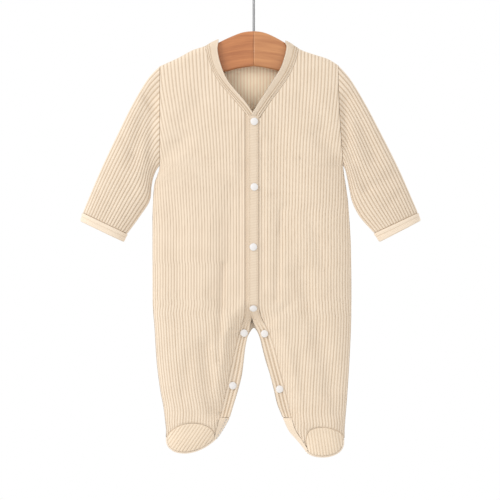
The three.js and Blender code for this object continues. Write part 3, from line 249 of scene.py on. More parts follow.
SLEEVE_FOLDS = [
    (FRONT, -131, -182, -137, -262, 7, 3.2),
    (FRONT, 119, -182, 126, -260, 8, 3.4),
    (FRONT, -136, -176, -160, -262, 10, 4.0),
    (FRONT, 128, -184, 158, -258, 11, 4.5),
    (FRONT, -160, -300, -192, -282, 9, 2.5),
    (FRONT, 150, -300, 184, -284, 9, 2.5),
    (BACK, -134, -190, -164, -270, 11, 4.0),
    (BACK, 126, -196, 160, -270, 11, 4.0),
    (FRONT, -145, -174, -124, -204, 5, 2.4),
    (FRONT, -172, -236, -150, -262, 6, 1.4),
    (FRONT, -186, -322, -204, -306, 5, 1.3),
    (FRONT, 116, -196, 122, -246, 6, 2.2),
    (FRONT, 130, -262, 150, -300, 7, 1.8),
    (FRONT, 176, -322, 194, -306, 5, 1.2),
    (BACK, -146, -300, -176, -286, 8, 1.8),
    (BACK, 140, -298, 172, -282, 8, 1.8),
    (BACK, -176, -330, -200, -318, 6, 1.2),
]
SNAPS = [(0.5, -211.8), (0.6, -297.7), (-0.6, -376.3), (-0.6, -456.4), (-12.9, -489.4), (-27.8, -558.6),
         (14.3, -490.2), (34.0, -563.2)]
# Hanger
WIRE_RADIUS = 1.7
HOOK_RADIUS = 19
HOOK_TIP_ANGLE, HOOK_END_ANGLE = 200, -60
STEM_END_Z = -118
WOOD_HALF = 5
WOOD_ROUND = 3.5
WOOD_JOINT = 0.04  # half the gap between the halves
WOOD = {
    "left": [(0, -92), (9, -92.6), (18.1, -94.6), (36.4, -102.2), (48, -108), (63.9, -116.4), (80, -119.7),
             (96.7, -128.8), (105, -135.5), (110.5, -143), (107, -152), (97, -156.5), (78, -154), (58, -149.5),
             (40.3, -146.2), (20.7, -141.1), (0, -137.9)],
    "right": [(0, -92), (9, -92.8), (18.1, -95.4), (33, -102.6), (46, -111), (57, -122.4), (66, -125.2),
              (80, -126), (92, -130), (100, -138), (105, -146), (101, -154), (92, -157.5), (76, -155),
              (58, -150.5), (40.3, -146.6), (20.7, -141.3), (0, -137.9)],
}

# Camera and the photograph's frame
PIXELS = 500
MM_PER_PIXEL = 1.31
VIEW_CENTRE = (-5.0, -380.2)  # x and z at the middle of the picture, in mm
VIEW_PLANE_Y = -15.0
CAMERA_DISTANCE = 2.6
SENSOR = 36.0
FLOOR_Z = -1.45
FLOOR_RADIUS = 4.0


# Curves and formulas
def unit(vectors):
    return vectors / np.linalg.norm(vectors, axis=-1, keepdims=True)


def lerp(a, b, k):
    return a + (b - a) * k


def smooth(k):
    c = np.clip(k, 0, 1)
    return c * c * (3 - 2 * c)


def rounded(distance, radius):
    """Height of a quarter ellipse: sqrt(1 - (1 - d / r)^2)."""
    return np.sqrt(1 - (1 - np.clip(distance / radius, 0, 1)) ** 2)


def through(xs, ys):
    """Smooth curve y(x) through a table: cubic pieces whose slope at each point is the harmonic
    mean of the slopes on both sides, and 0 where they change sign, so it doesn't overshoot."""
    order = np.argsort(xs)
    x, y = np.asarray(xs, float)[order], np.asarray(ys, float)[order]
    s = np.diff(y) / np.diff(x)
    product, total = s[:-1] * s[1:], s[:-1] + s[1:]
    mid = np.where(product > 0, 2 * product / np.where(product > 0, total, 1), 0)
    t = np.concatenate([s[:1], mid, s[-1:]])

    def at(v):
        v = np.clip(v, x[0], x[-1])
        i = np.clip(np.searchsorted(x, v, side="right") - 1, 0, len(x) - 2)
        d = x[i + 1] - x[i]
        k = (v - x[i]) / d
        rise = (1 + 2 * k) * (1 - k) ** 2 * y[i] + k * k * (3 - 2 * k) * y[i + 1]
        return rise + k * (1 - k) ** 2 * d * t[i] + k * k * (k - 1) * d * t[i + 1]

    return at


def rows_through(table, *keys):
    """One smooth curve of z for each named column."""
    return [through(table["z"], table[key]) for key in keys]


def catmull(points, steps=40):
    """Dense points on the centripetal Catmull-Rom curve through the given ones, any dimension."""
    p = np.asarray(points, float)
    p = np.vstack([2 * p[0] - p[1], p, 2 * p[-1] - p[-2]])
    gaps = np.linalg.norm(np.diff(p, axis=0), axis=1) ** 0.5
    k = np.linspace(0, 1, steps, endpoint=False)[:, None]
    out = []
    for i in range(1, len(p) - 2):
        d0, d1, d2 = gaps[i - 1], gaps[i], gaps[i + 1]
        a, b, c, d = p[i - 1:i + 3]
        t1 = ((b - a) / d0 - (c - a) / (d0 + d1) + (c - b) / d1) * d1
        t2 = ((c - b) / d1 - (d - b) / (d1 + d2) + (d - c) / d2) * d1
        q = (2 * k**3 - 3 * k**2 + 1) * b + (k**3 - 2 * k**2 + k) * t1
        out.append(q + (-2 * k**3 + 3 * k**2) * c + (k**3 - k**2) * t2)
    out.append(p[-2][None])
    return np.vstack(out)


def lengths(line):
    """Length along a line of points from its first one."""
    return np.concatenate([[0], np.cumsum(np.linalg.norm(np.diff(line, axis=0), axis=1))])


def path_of(points):
    """The same curve as a function of the part u of its length."""
    dense = catmull(points)
    length = lengths(dense)
    part = length / length[-1]
    return lambda u: np.stack([np.interp(u, part, dense[:, i]) for i in range(dense.shape[1])], -1)


depth_at, rounding_at = rows_through(SECTIONS, "depth", "rounding")
side_at = dict(zip(("left", "right"), rows_through(SIDES, "left", "right")))
inside_at = dict(zip(("left", "right"), rows_through(INSIDES, "left", "right")))
spread_at = dict(zip(("left", "right", "back"), rows_through(SPREAD, "left", "right", "back")))
ridge_at = {name: through(RIDGE["x"], RIDGE[name]) for name in ("left", "right")}
SIGN = {"left": -1, "right": 1}
outline_at = {name: path_of(FEET[name]["outline"]) for name in FEET}


def foot_edge(name):
    """The leg's two edges and the foot's outline between them, as one line."""
    legs = np.arange(-560.0, -600, -5)
    sides = np.arange(-622.0, -558, 4)
    inner = np.stack([inside_at[name](legs), legs], -1)
    outer = np.stack([side_at[name](sides), sides], -1)
    return np.vstack([inner, outline_at[name](np.linspace(0, 1, 41)), outer])


EDGES = {name: foot_edge(name) for name in FEET}


def by_side(x, functions, v):
    """functions["left"](v) where x < 0 and functions["right"](v) elsewhere."""
    return np.where(x < 0, functions["left"](v), functions["right"](v))


def distance_to(line, a, z):
    """Distance from points of the front view to a line of points."""
    best = np.full(a.shape, np.inf)
    for (ax, az), (bx, bz) in zip(line[:-1], line[1:]):
        k = np.clip(((a - ax) * (bx - ax) + (z - az) * (bz - az)) / ((bx - ax) ** 2 + (bz - az) ** 2), 0, 1)
        best = np.minimum(best, np.hypot(a - lerp(ax, bx, k), z - lerp(az, bz, k)))
    return best


def fold_depth(folds, face, x, z):
    """Sum of the folds: depth * exp(-(distance from the fold's line / half width)^2)."""
    total = np.zeros(np.broadcast(x, z).shape)
    for side, x0, z0, x1, z1, width, depth in folds:
        dx, dz = x1 - x0, z1 - z0
        along = np.clip(((x - x0) * dx + (z - z0) * dz) / (dx * dx + dz * dz), 0, 1)
        off = np.hypot(x - x0 - along * dx, z - z0 - along * dz)
        total += np.where(face == side, depth * np.exp(-((off / width) ** 2)), 0)
    return total


def middle(z):
    """The toes hang forward of the leg."""
    return -TOE_FORWARD * np.clip((TOE_Z + TOE_DROP - z) / TOE_DROP, 0, 1) ** 2


def half_depth(x, z, face, inset=0.0):
    """How far the surface lies from the garment's middle at a point of the front view.
    h = depth * rounded(distance to the side), met at the top by the rounding over the hanger in a
    fourth-power minimum, less the folds; flat beside the snap bands; at the foot, depth *
    rounded(distance to the outline). inset moves the surface inwards."""
    x, z, face, inset = np.broadcast_arrays(x, z, face, np.asarray(inset, float))
    a = np.abs(x)
    k = np.clip((z - ARMPIT_Z) / 60, 0, 1)
    close = by_side(x, side_at, z) + ARMHOLE_SPREAD * k * (2 - k)
    h = (depth_at(z) - inset) * rounded(close - inset - a, rounding_at(z))
    below = by_side(x, ridge_at, a) - inset - z
    radius = SHOULDER_RADIUS - inset
    top = radius * rounded(below, radius) + SHOULDER_SLOPE * np.maximum(0, below - radius / 2)
    good = (h > 1e-6) & (top > 1e-6)
    met = (np.where(good, h, 1) ** -4.0 + np.where(good, top, 1) ** -4.0) ** -0.25
    h = np.where(z > -260, np.where(good, met, 0), h)
    fold = fold_depth(FOLDS, face, x, z) * smooth(h / 14)
    h = np.where(h > 0, np.maximum(h - fold, np.minimum(h, 1)), h)
    low = z < CROTCH_Z + 60
    start = np.where(z > CROTCH_Z, np.hypot(a, z - CROTCH_Z), a - by_side(x, inside_at, z))
    flat = BAND_HALF - inset
    leg = np.where(h > flat, flat + (h - flat) * smooth((start - BAND_FLAT) / BAND_RISE), h)
    is_foot = smooth((ANKLE_Z + FOOT_BLEND / 2 - z) / FOOT_BLEND)
    foot = np.zeros(h.shape)
    for name in FEET:
        pick = (is_foot > 0) & ((x < 0) == (name == "left"))
        if pick.any():
            far = distance_to(EDGES[name], a[pick], z[pick])
            foot[pick] = (depth_at(z[pick]) - inset[pick]) * rounded(far - inset[pick], FOOT_ROUND)
    return np.where(low, lerp(leg, foot, is_foot), h)


def on_body(x, z, face, inset=0.0):
    """Points of the garment's surface."""
    x, z, face, inset = np.broadcast_arrays(x, z, face, np.asarray(inset, float))
    low = np.minimum(z, by_side(x, ridge_at, np.abs(x)) - inset)
    return np.stack([x, middle(low) + face * (half_depth(x, low, face, inset) + SEAM / 2), low], -1)


def rib(u):
    """A rib's relief over its width: 1 - |2u - 1|^2.6, a round crest between narrow grooves."""
    return 1 - np.abs(2 * (u % 1) - 1) ** 2.6


# Meshes
def make(name, points, faces, slot, material, uv=None, values=None):
    """A Blender mesh object from points in mm, with its UVs and its attributes by name."""
    mesh = bpy.data.meshes.new(name)
    mesh.from_pydata((np.asarray(points) * MM).tolist(), [], faces)
    mesh.polygons.foreach_set("use_smooth", np.full(len(mesh.polygons), True))
    if uv is not None:
        corners = np.empty(len(mesh.loops), int)
        mesh.loops.foreach_get("vertex_index", corners)
        mesh.uv_layers.new(name="cloth").data.foreach_set("uv", np.asarray(uv)[corners].ravel())
    for key, value in (values or {}).items():
        mesh.attributes.new(key, "FLOAT", "POINT").data.foreach_set("value", np.asarray(value, float))
    mesh.materials.append(material)
    mesh.update()
    piece = bpy.data.objects.new(name, mesh)
    bpy.context.scene.collection.objects.link(piece)
    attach(piece, "root")
    return piece


def grid_faces(columns, rows, start=0, flip=False, tube=False):
    """Quads of a grid whose points are numbered down its columns. A tube closes on itself."""
    c = np.arange(columns if tube else columns - 1)[:, None]
    r = np.arange(rows - 1)[None, :]
    d = (c + 1) % columns
    quad = np.stack([c * rows + r, d * rows + r, d * rows + r + 1, c * rows + r + 1], -1).reshape(-1, 4) + start
    return quad[:, ::-1] if flip else quad


def shell(outer, inner, tube=False):
    """Points and faces of a closed wall between an outer and an inner grid with the same rows.
    Each inner column stands for a whole number of outer ones."""
    (c_out, rows), c_in = outer.shape[:2], inner.shape[0]
    start = c_out * rows
    faces = grid_faces(c_out, rows, tube=tube).tolist()
    faces += grid_faces(c_in, rows, start, True, tube).tolist()
    cells = c_in if tube else c_in - 1
    each = (c_out if tube else c_out - 1) // cells
    for row in (0, rows - 1):
        for c in range(cells):
            top = [((c * each + k) % c_out) * rows + row for k in range(each + 1)]
            low = [start + ((c + 1) % c_in) * rows + row, start + c * rows + row]
            face = top + low
            faces.append(face[::-1] if row == 0 else face)
    if not tube:
        for o, n, flip in ((0, start, False), ((c_out - 1) * rows, start + (c_in - 1) * rows, True)):
            for r in range(rows - 1):
                face = [o + r, o + r + 1, n + r + 1, n + r]
                faces.append(face[::-1] if flip else face)
    points = np.concatenate([outer.reshape(-1, 3), inner.reshape(-1, 3)])
    p = outer.reshape(-1, 3)
    a, b, c = (p[[f[i] for f in faces[: (c_out - 1) * (rows - 1)]]] for i in (0, 1, 2))
    centre = points.mean(0)
    outward = (np.cross(b - a, c - a) * (a - centre)).sum()
    if outward < 0:
        faces = [face[::-1] for face in faces]
    return points, faces


def arc_lengths(grid, axis):
    """Length along the grid's lines from their first point."""
    step = np.linalg.norm(np.diff(grid, axis=axis), axis=2)
    pad = [(0, 0), (0, 0)]
    pad[axis] = (1, 0)
    return np.pad(np.cumsum(step, axis=axis), pad)


def cloth(name, outer, inner, relief, slot, material, u=None, tube=False, v=None):
    """A walled piece of cloth. UVs are in mm, u across the ribs and v along them."""
    points, faces = shell(outer, inner, tube)
    if v is None:
        v = arc_lengths(outer, 1)
    if u is None:
        u = arc_lengths(outer, 0)[:, outer.shape[1] // 2][:, None] + np.zeros(v.shape)
    each = (outer.shape[0] - 1 + tube) // (inner.shape[0] - 1 + tube)
    uv_out = np.stack([u, v], -1)
    uv = np.concatenate([uv_out.reshape(-1, 2), uv_out[::each].reshape(-1, 2)])
    inner_relief = relief[::each].ravel()
    # rib carries the relief that paints shade in the grooves; inside marks the inner wall, which the knit paints paler
    # as painted light
    values = {"rib": np.concatenate([relief.ravel(), inner_relief]),
              "inside": np.concatenate([np.zeros(relief.size), np.ones(inner_relief.size)])}
    return make(name, points, faces, slot, material, uv, values)


# Panels
LEVELS = np.arange(-93.0, -655.0, -1.5)
SECTION_STEPS = 96
TOP_ROWS = np.array([0, 0.3, 0.8, 1.6, 2.6, 4, 6, 8.5, 11.5])
BODY_ROWS = 150


def first_below(values):
    """Height at which each column of a table over LEVELS first falls to 0 or less."""
    under = values <= 0
    i = np.clip(np.argmax(under, axis=0), 1, len(LEVELS) - 1)
    c = np.arange(values.shape[1])
    a, b = values[i - 1, c], values[i, c]
    k = np.clip(a / np.where(a - b == 0, 1, a - b), 0, 1)
    return np.where(under.any(axis=0), lerp(LEVELS[i - 1], LEVELS[i], k), LEVELS[-1])


def half_panel(name, face, seam_at, fork_z, top_at, bottom_at, columns):
    """Half a panel. A column runs at a constant part of the cloth's width down to the fork, and
    below it at a constant distance from the side seam, where the inside of the leg cuts it off.
    The rib's phase is the distance from the centre along the cloth / (pitch * spread)."""
    sign = SIGN[name]
    z = np.minimum(LEVELS, SHOULDER_Z)
    low = seam_at(z)
    k = np.clip((z - ARMPIT_Z) / 60, 0, 1)
    close = side_at[name](z) + ARMHOLE_SPREAD * k * (2 - k)
    ramp = (1 - np.cos(np.pi * np.arange(SECTION_STEPS + 1) / SECTION_STEPS)) / 2

    def sections(inset):
        high = np.where(z > ARMPIT_Z, np.minimum(side_at[name](z), close - inset), close - inset)
        a = high[:, None] + (low - high)[:, None] * ramp
        h = half_depth(sign * a, z[:, None], face, inset)
        step = np.hypot(np.diff(a, axis=1), np.diff(h, axis=1))
        return a, np.pad(np.cumsum(step, axis=1), [(0, 0), (1, 0)])

    a_out, s_out = sections(0.0)
    a_in, s_in = sections(WALL)
    total = s_out[:, -1]
    fork_length = np.interp(-fork_z, -LEVELS, total)
    width = np.where(LEVELS >= fork_z, total, fork_length)
    part = np.arange(columns + 1) / columns
    length = (1 - part)[None, :] * width[:, None]
    place = np.stack([np.interp(length[i], s_out[i], a_out[i]) for i in range(len(z))])
    ratio = (s_in[:, -1] / total)[:, None]
    place_in = np.stack([np.interp(length[i] * ratio[i], s_in[i], a_in[i]) for i in range(len(z))])
    level = LEVELS[:, None]
    top = first_below(level - top_at(place))
    beneath = level < fork_z
    cut = first_below(np.where(beneath, total[:, None] - (1 - part) * fork_length, 1.0))
    end = first_below(np.where(beneath, level - bottom_at(place), 1.0))
    bottom = np.maximum(cut, end)
    rest = np.linspace(0, 1, BODY_ROWS)[None, 1:]
    z_rows = np.concatenate([top[:, None] - TOP_ROWS, lerp((top - TOP_ROWS[-1])[:, None], bottom[:, None], rest)], 1)

    def at(table, rows):
        return np.stack([np.interp(-rows[c], -LEVELS, table[:, c]) for c in range(len(part))])

    x = at(place, z_rows)
    along = np.minimum(z_rows[:, :1] - z_rows, z_rows - z_rows[:, -1:])
    across = at(total[:, None] - length, z_rows)
    edge = np.minimum(along, across) if face == FRONT else np.where(z_rows < fork_z, np.minimum(along, across), along)
    keep = smooth(edge / EDGE_WIDTH)
    style = name if face == FRONT else "back"
    phase = at(part * width[:, None], z_rows) / (RIB_PITCH[style] * spread_at[style](z_rows))
    relief = rib(phase) * keep
    outer = on_body(sign * x, z_rows, face, EDGE_ROLL * (1 - keep) ** 2 - RIB_HEIGHT * relief)
    inside = slice(None, None, INNER_STEP)
    inner = on_body(sign * at(place_in, z_rows)[inside], z_rows[inside], face, WALL)
    return outer, inner, relief + SEAM_SHADE_TONE * (1 - keep), phase * NOMINAL_PITCH, -z_rows


def cross_of(line, pick):
    """Height of a line of points where it passes a distance from the centre; pick is np.minimum or
    np.maximum where it passes more than once."""
    line = np.asarray(line, float)

    def at(a):
        best = np.full(a.shape, np.nan)
        for (ax, az), (bx, bz) in zip(line[:-1], line[1:]):
            if ax > bx:
                ax, az, bx, bz = bx, bz, ax, az
            if ax == bx:
                continue
            inside = (a >= ax) & (a <= bx)
            value = lerp(az, bz, (a - ax) / (bx - ax))
            best = np.where(inside, np.where(np.isnan(best), value, pick(best, value)), best)
        return best

    return at


def seam_line(points):
    """Distance of a line of points from the centre, by height."""
    line = np.asarray(points, float)
    order = np.argsort(line[:, 1])
    return lambda z: np.interp(z, line[order, 1], line[order, 0])


def top_of(name, face):
    front = NECK_LEFT if name == "left" else NECK_RIGHT
    rows = front if face == FRONT else [row for row in NECK_BACK if row[2] * SIGN[name] >= 0]
    rim = sorted((abs(row[2]), row[3]) for row in rows)
    end = abs(NECK_OVER[name][1])
    edge = catmull([*rim, (end, float(ridge_at[name](end)) - 5.5)], 8)
    edge = edge + [CUT_SEAM, -CUT_SEAM]
    cross = cross_of(edge, np.minimum)
    first, last = edge[0], edge[-1]

    def at(a):
        ridge = ridge_at[name](a)
        seam = np.where(a <= first[0] + 1, first[1], cross(a))
        return np.where(a >= last[0], ridge, np.minimum(np.where(np.isnan(seam), ridge, seam), ridge))

    return at


def bottom_of(seam):
    line = catmull(seam, 12)
    cross = cross_of(line, np.maximum)
    inner, outer = sorted((tuple(line[0]), tuple(line[-1])))

    def at(a):
        z = cross(a)
        return np.where(np.isnan(z), np.where(a < inner[0], inner[1], outer[1]), z) + CUT_SEAM

    return at


def front_panel(name):
    table = BAND_LEFT if name == "left" else BAND_RIGHT
    band = [(abs(s) + CUT_SEAM, z) for s, z in zip(table["seam"], table["z"])]
    below = [(a + CUT_SEAM, z) for a, z in FEET[name]["side"]]
    line = [(band[0][0], 0), *band, *below, (below[-1][0], -700)]
    seam = seam_line(line)
    return half_panel(name, FRONT, seam, FORK_Z, top_of(name, FRONT), bottom_of(FEET[name]["instep"]),
                      COLUMNS_HALF_BODY)


def back_band_rows():
    """Stations of the back's snap band: x in, z in, x out, z out, up one leg and down the other."""
    def leg(name):
        sign = SIGN[name]
        inner = inside_at[name](np.array(BACK_BAND["z"], float))
        return [(sign * (i + 0.2), z, sign * (i + w), z + up)
                for i, z, w, up in zip(inner, BACK_BAND["z"], BACK_BAND["wide"], BACK_BAND["up"])]
    return [*leg("left"), (0, CROTCH_Z, 0, BACK_FORK_Z - 1.4), *leg("right")[::-1]]


def back_half(name):
    rows = [row for row in back_band_rows() if row[2] * SIGN[name] >= 0]
    line = sorted(((abs(row[2]) and abs(row[2]) + 0.9, row[3] + 0.9) for row in rows), key=lambda p: -p[1])
    line = [(0, 0), *line, (line[-1][0] + 1, -700)]
    seam = seam_line(line)
    heel = [*FEET[name]["heel"], FEET[name]["outline"][-1]]
    return half_panel(name, BACK, seam, BACK_FORK_Z, top_of(name, BACK), bottom_of(heel), COLUMNS_HALF_BACK)


# Strips
def strip_grid(x_in, z_in, x_out, z_out, face, profile, wall, lift, across=28):
    """Outer and inner grids of a band: straight across between its edges at each station.
    profile(k) is the relief over the part k of its width, lift its height over the panels."""
    k = np.linspace(0, 1, across)[:, None]
    x, z = lerp(x_in, x_out, k), lerp(z_in, z_out, k)
    width = np.hypot(x_out - x_in, z_out - z_in)
    edge = np.minimum(k, 1 - k) * width
    roll = 0.6 * (1 - smooth(edge / 1.1)) ** 2
    relief = profile(k, edge, np.arange(len(np.atleast_1d(x_in)))[None, :])
    outer = on_body(x, z, face, roll - relief - lift)
    inner = on_body(x[::across - 1], z[::across - 1], face, wall - lift)
    return outer, inner, relief


def resample(rows, step):
    """Stations at equal steps along the middle of a smooth curve through the given ones."""
    dense = catmull(rows, 30)
    mid = (dense[:, :2] + dense[:, 2:4]) / 2
    length = lengths(mid)
    at = np.linspace(0, length[-1], int(length[-1] / step) + 1)
    return np.stack([np.interp(at, length, dense[:, i]) for i in range(dense.shape[1])])


BAND_TOP = {"left": (0.0, 7.2), "right": (3.8, 2.4)}  # how far the top rises at its inner and seam edge


def front_band(name, level):
    """A front snap band: flat with two stitched grooves at the placket, ridged along the leg."""
    table = BAND_LEFT if name == "left" else BAND_RIGHT
    inner, seam = rows_through(table, "inner", "seam")
    z = np.concatenate([np.arange(table["z"][0], -600, -1.4), [-600.2]])
    lift = lerp(level, BAND_LEG, smooth((FORK_Z - 6 - z) / 16))

    def profile(k, edge, i):
        leg = smooth((FORK_Z - z) / 24)[None, :]
        stitched = -0.35 * np.exp(-(((edge - 1.9) / 0.45) ** 2))
        ridges = 0.5 * np.cos(3 * 2 * np.pi * (k - 0.5)) * smooth(edge / 2)
        return lerp(stitched, ridges, leg) + 0.1

    rise_in, rise_out = BAND_TOP[name]
    near = 1 - smooth((z[0] - z) / 14)
    return strip_grid(inner(z), z + rise_in * near, seam(z), z + rise_out * near, FRONT, profile, BAND_WALL, lift)


def neck_stations():
    """Stations of the neck band as x in, q in, x out, q out, where q is the depth below the
    shoulder line, positive at the front and negative at the back."""
    def depth(x, z, face):
        return -face * (float(neck_ridge(np.array(x))) - z)

    rows = [(a, depth(a, b, FRONT), c, depth(c, d, FRONT)) for a, b, c, d in NECK_LEFT]
    a, c = NECK_OVER["left"]
    rows += [(a, q, c, q) for q in (5.5, 0, -5.5)]
    rows += [(a, depth(a, b, BACK), c, depth(c, d, BACK)) for a, b, c, d in NECK_BACK]
    a, c = NECK_OVER["right"]
    rows += [(a, q, c, q) for q in (-5.5, 0, 5.5)]
    return rows + [(a, depth(a, b, FRONT), c, depth(c, d, FRONT)) for a, b, c, d in NECK_RIGHT[::-1]]


def neck_ridge(x):
    """The shoulder line over both halves, blended across the centre."""
    a = np.abs(x)
    return lerp(ridge_at["left"](a), ridge_at["right"](a), smooth((x + 15) / 30))


def neck_band():
    """The neck's binding, with two needle grooves beside its seam. Its right end lies over the left."""
    stations = resample(neck_stations(), 0.9)
    k = np.linspace(0, 1, NECK_COLUMNS)[:, None]
    x = lerp(stations[0], stations[2], k)
    q = lerp(stations[1], stations[3], k)
    face = np.where(q >= 0, FRONT, BACK)
    z = neck_ridge(x) - np.abs(q)
    width = np.hypot(stations[2] - stations[0], stations[3] - stations[1])
    edge_in, edge_out = k * width, (1 - k) * width
    roll = 0.9 * (1 - smooth(np.minimum(edge_in, edge_out) / 1.1)) ** 2
    needles = -0.5 * (np.exp(-(((edge_out - 2.4) / 0.7) ** 2)) + np.exp(-(((edge_out - 5.2) / 0.7) ** 2)))
    ridges = 0.45 * np.exp(-(((edge_out - 1.0) / 0.7) ** 2)) + 0.3 * np.exp(-(((edge_out - 3.8) / 0.7) ** 2))
    ridges = ridges + 0.25 * np.exp(-(((edge_in - 1.0) / 0.8) ** 2))
    relief = ridges + needles + 0.1 * smooth((edge_out - 5) / 2)
    end = np.arange(len(stations[0]))
    lift = NECK_LIFT + NECK_OVERLAP * smooth(1 - end[::-1] / 34) - NECK_TUCK * smooth(1 - end / 26)
    outer = on_body(x, z, face, roll - relief - lift)
    pick = slice(None, None, NECK_COLUMNS - 1)
    inner = on_body(x[pick], z[pick], face[pick], BAND_WALL - lift)
    near = np.abs(q) < 0.25
    outer[..., 1] = np.where(near, 0, outer[..., 1])
    inner[..., 1] = np.where(near[pick], 0, inner[..., 1])
    return outer, inner, relief


# Sleeves and cuffs
def sleeve_place(name):
    """A point of a sleeve at the part k of the way from its top edge to its low edge and t along it."""
    shape, sign = SLEEVES[name], SIGN[name]
    top, low = path_of(shape["top"]), path_of(shape["low"])
    arm_top = float(ridge_at[name](side_at[name](-140.0)))

    def place(k, t, face, inset=0.0):
        k, t, face, inset = np.broadcast_arrays(k, t, face, np.asarray(inset, float))
        a, b = top(t), low(t)
        width = np.hypot(b[..., 0] - a[..., 0], b[..., 1] - a[..., 1])
        pull = np.maximum(inset, 0) / width * 1.3
        grow = np.where(inset < 0, -inset * (1 - 2 * k) / width, 0)
        part = lerp(pull, 1 - pull, k) - grow
        at_arm = (1 - smooth(t / SLEEVE_MERGE)) ** 2
        arm_z = lerp(arm_top - 0.6, ARMPIT_Z + 0.4, part)
        start = 1 - np.clip(t / 0.08, 0, 1)
        edge = side_at[name](arm_z)
        x = lerp(lerp(a[..., 0], b[..., 0], part), sign * (edge + SEAM), start)
        z = lerp(lerp(a[..., 1], b[..., 1], part), arm_z, start)
        round_ = width * 0.42
        tube = (SLEEVE_DEPTH - inset) * rounded(k * width, round_) * rounded((1 - k) * width, round_)
        arm = half_depth(sign * edge, arm_z, face, inset)
        h = lerp(tube, np.minimum(arm, tube * 1.6), at_arm)
        fold = fold_depth(SLEEVE_FOLDS, face, x, z) * smooth(h / 12)
        h = np.maximum(h - fold, np.minimum(tube, 2.6 - inset))
        return np.stack([x, face * h, z], -1)

    return place


def around(place, t, count):
    """Parts k and faces of count columns on each face of a tube, at equal steps of cloth."""
    value = (1 - np.cos(np.pi * np.arange(361) / 360)) / 2
    line = place(value, t, FRONT)
    length = np.concatenate([[0], np.cumsum(np.linalg.norm(np.diff(line, axis=0), axis=1))])
    parts = np.interp(np.linspace(0, length[-1], count + 1), length, value)
    k = np.concatenate([parts, parts[1:-1][::-1]])
    face = np.concatenate([np.full(count + 1, FRONT), np.full(count - 1, BACK)])
    return k[:, None], face[:, None]


def sleeve(name):
    place = sleeve_place(name)
    t = np.concatenate([[0, 0.004, 0.01, 0.02, 0.035], np.linspace(0.05, 0.985, 90), [0.993, 1]])[None, :]
    k, face = around(place, 0.5, RIBS_HALF_SLEEVE * RIB_SAMPLES)
    columns = len(k)
    edge = np.minimum(t, 1 - t) * 180
    keep = smooth(edge / EDGE_WIDTH)
    relief = rib(np.arange(columns) / RIB_SAMPLES)[:, None] * keep
    outer = place(k, t, face, EDGE_ROLL * (1 - keep) ** 2 - RIB_HEIGHT * relief)
    inner = place(k[::INNER_STEP], t, face[::INNER_STEP], WALL)
    return outer, inner, relief + SEAM_SHADE_TONE * (1 - keep)


def cuff(name):
    """A folded band round the sleeve's end: two ridges with a groove between them."""
    place, shape = sleeve_place(name), SLEEVES[name]
    end_top, end_low = np.array(shape["top"][-1]), np.array(shape["low"][-1])
    cuff_top, cuff_low = (np.array(p) for p in shape["cuff"])
    k, face = around(place, 1.0, 72)
    base = place(k[:, 0], 1.0, face[:, 0])[:, None, :]
    along = np.linspace(0, 1, 26)[None, :]
    shift = lerp(cuff_top - end_top, cuff_low - end_low, k)[:, None, :] * lerp(0.012, 1, along)[..., None]
    width = float(np.linalg.norm(cuff_top - cuff_low))
    centre = (end_top + end_low) / 2
    edge = np.minimum(along, 1 - along) * 12
    relief = 0.6 * smooth(edge / 1.6) - 0.55 * np.exp(-(((along - 0.42) * 12 / 0.6) ** 2))
    relief = relief + np.zeros((len(k), 1))

    def put(inset):
        grow = 1 - 2 * inset / width
        x = centre[0] + (base[..., 0] - centre[0]) * grow + shift[..., 0]
        z = centre[1] + (base[..., 2] - centre[1]) * grow + shift[..., 1]
        y = base[..., 1] * (1 - inset / SLEEVE_DEPTH)
        return np.stack([x, y, z], -1)

    outer = put(-CUFF_RISE - relief)
    inner = put(np.full(relief.shape, CUFF_WALL - CUFF_RISE))[::2]
    return outer, inner, relief


# Feet
def inwards(name, u, distance):
    """Points of the foot's outline moved inwards by a distance."""
    at = outline_at[name]
    p, q, r = at(u), at(np.minimum(u + 0.01, 1)), at(np.maximum(u - 0.01, 0))
    d = q - r
    length = np.hypot(d[..., 0], d[..., 1])
    return p[..., 0] - d[..., 1] / length * distance, p[..., 1] + d[..., 0] / length * distance


def split_of(name):
    """Part of the outline at which the instep's seam meets it."""
    u = np.linspace(0, 1, 81)
    return float(u[np.argmin(np.linalg.norm(outline_at[name](u) - FEET[name]["instep"][-1], axis=1))])


def vamp(name):
    """The upper of a foot. Its ribs run at the tilt that the table gives."""
    foot, sign = FEET[name], SIGN[name]
    k = np.linspace(0, 1, 121)[:, None]
    v = np.linspace(0, 1, 61)[None, :]
    start = path_of(foot["instep"])(lerp(0.01, 0.99, k[:, 0]))
    start = lerp(start, np.array(VAMP_MIDDLE), 0.008)
    b, y = inwards(name, lerp(0.985, split_of(name) + 0.025, k[:, 0]), SOLE_LIP + 0.15)
    a, z = lerp(start[:, :1], b[:, None], v), lerp(start[:, 1:], y[:, None], v)
    size = np.linalg.norm(np.stack([b, y], -1) - start, axis=1)[:, None]
    edge = np.minimum(np.minimum(v, 1 - v) * size, np.minimum(k, 1 - k) * 110)
    keep = smooth(edge / EDGE_WIDTH)
    tilt = math.radians(foot["rib_tilt"])
    phase = (sign * a * math.cos(tilt) + z * math.sin(tilt)) / 3.9
    relief = rib(phase) * keep
    outer = on_body(sign * a, z, FRONT, EDGE_ROLL * (1 - keep) ** 2 - 0.65 * relief)
    inner = on_body((sign * a)[::3], z[::3], FRONT, WALL)
    return outer, inner, relief + SEAM_SHADE_TONE * (1 - keep), sign * a, z


SOLE_START = 1.3  # step at which the dots begin
SOLE_TURN = [1, 0.4, 0, 0.4, 1, 1, 1, 1]
SOLE_BACK = [0, 0, 0, 0.06, 0.25, 0.5, 0.75, 1]


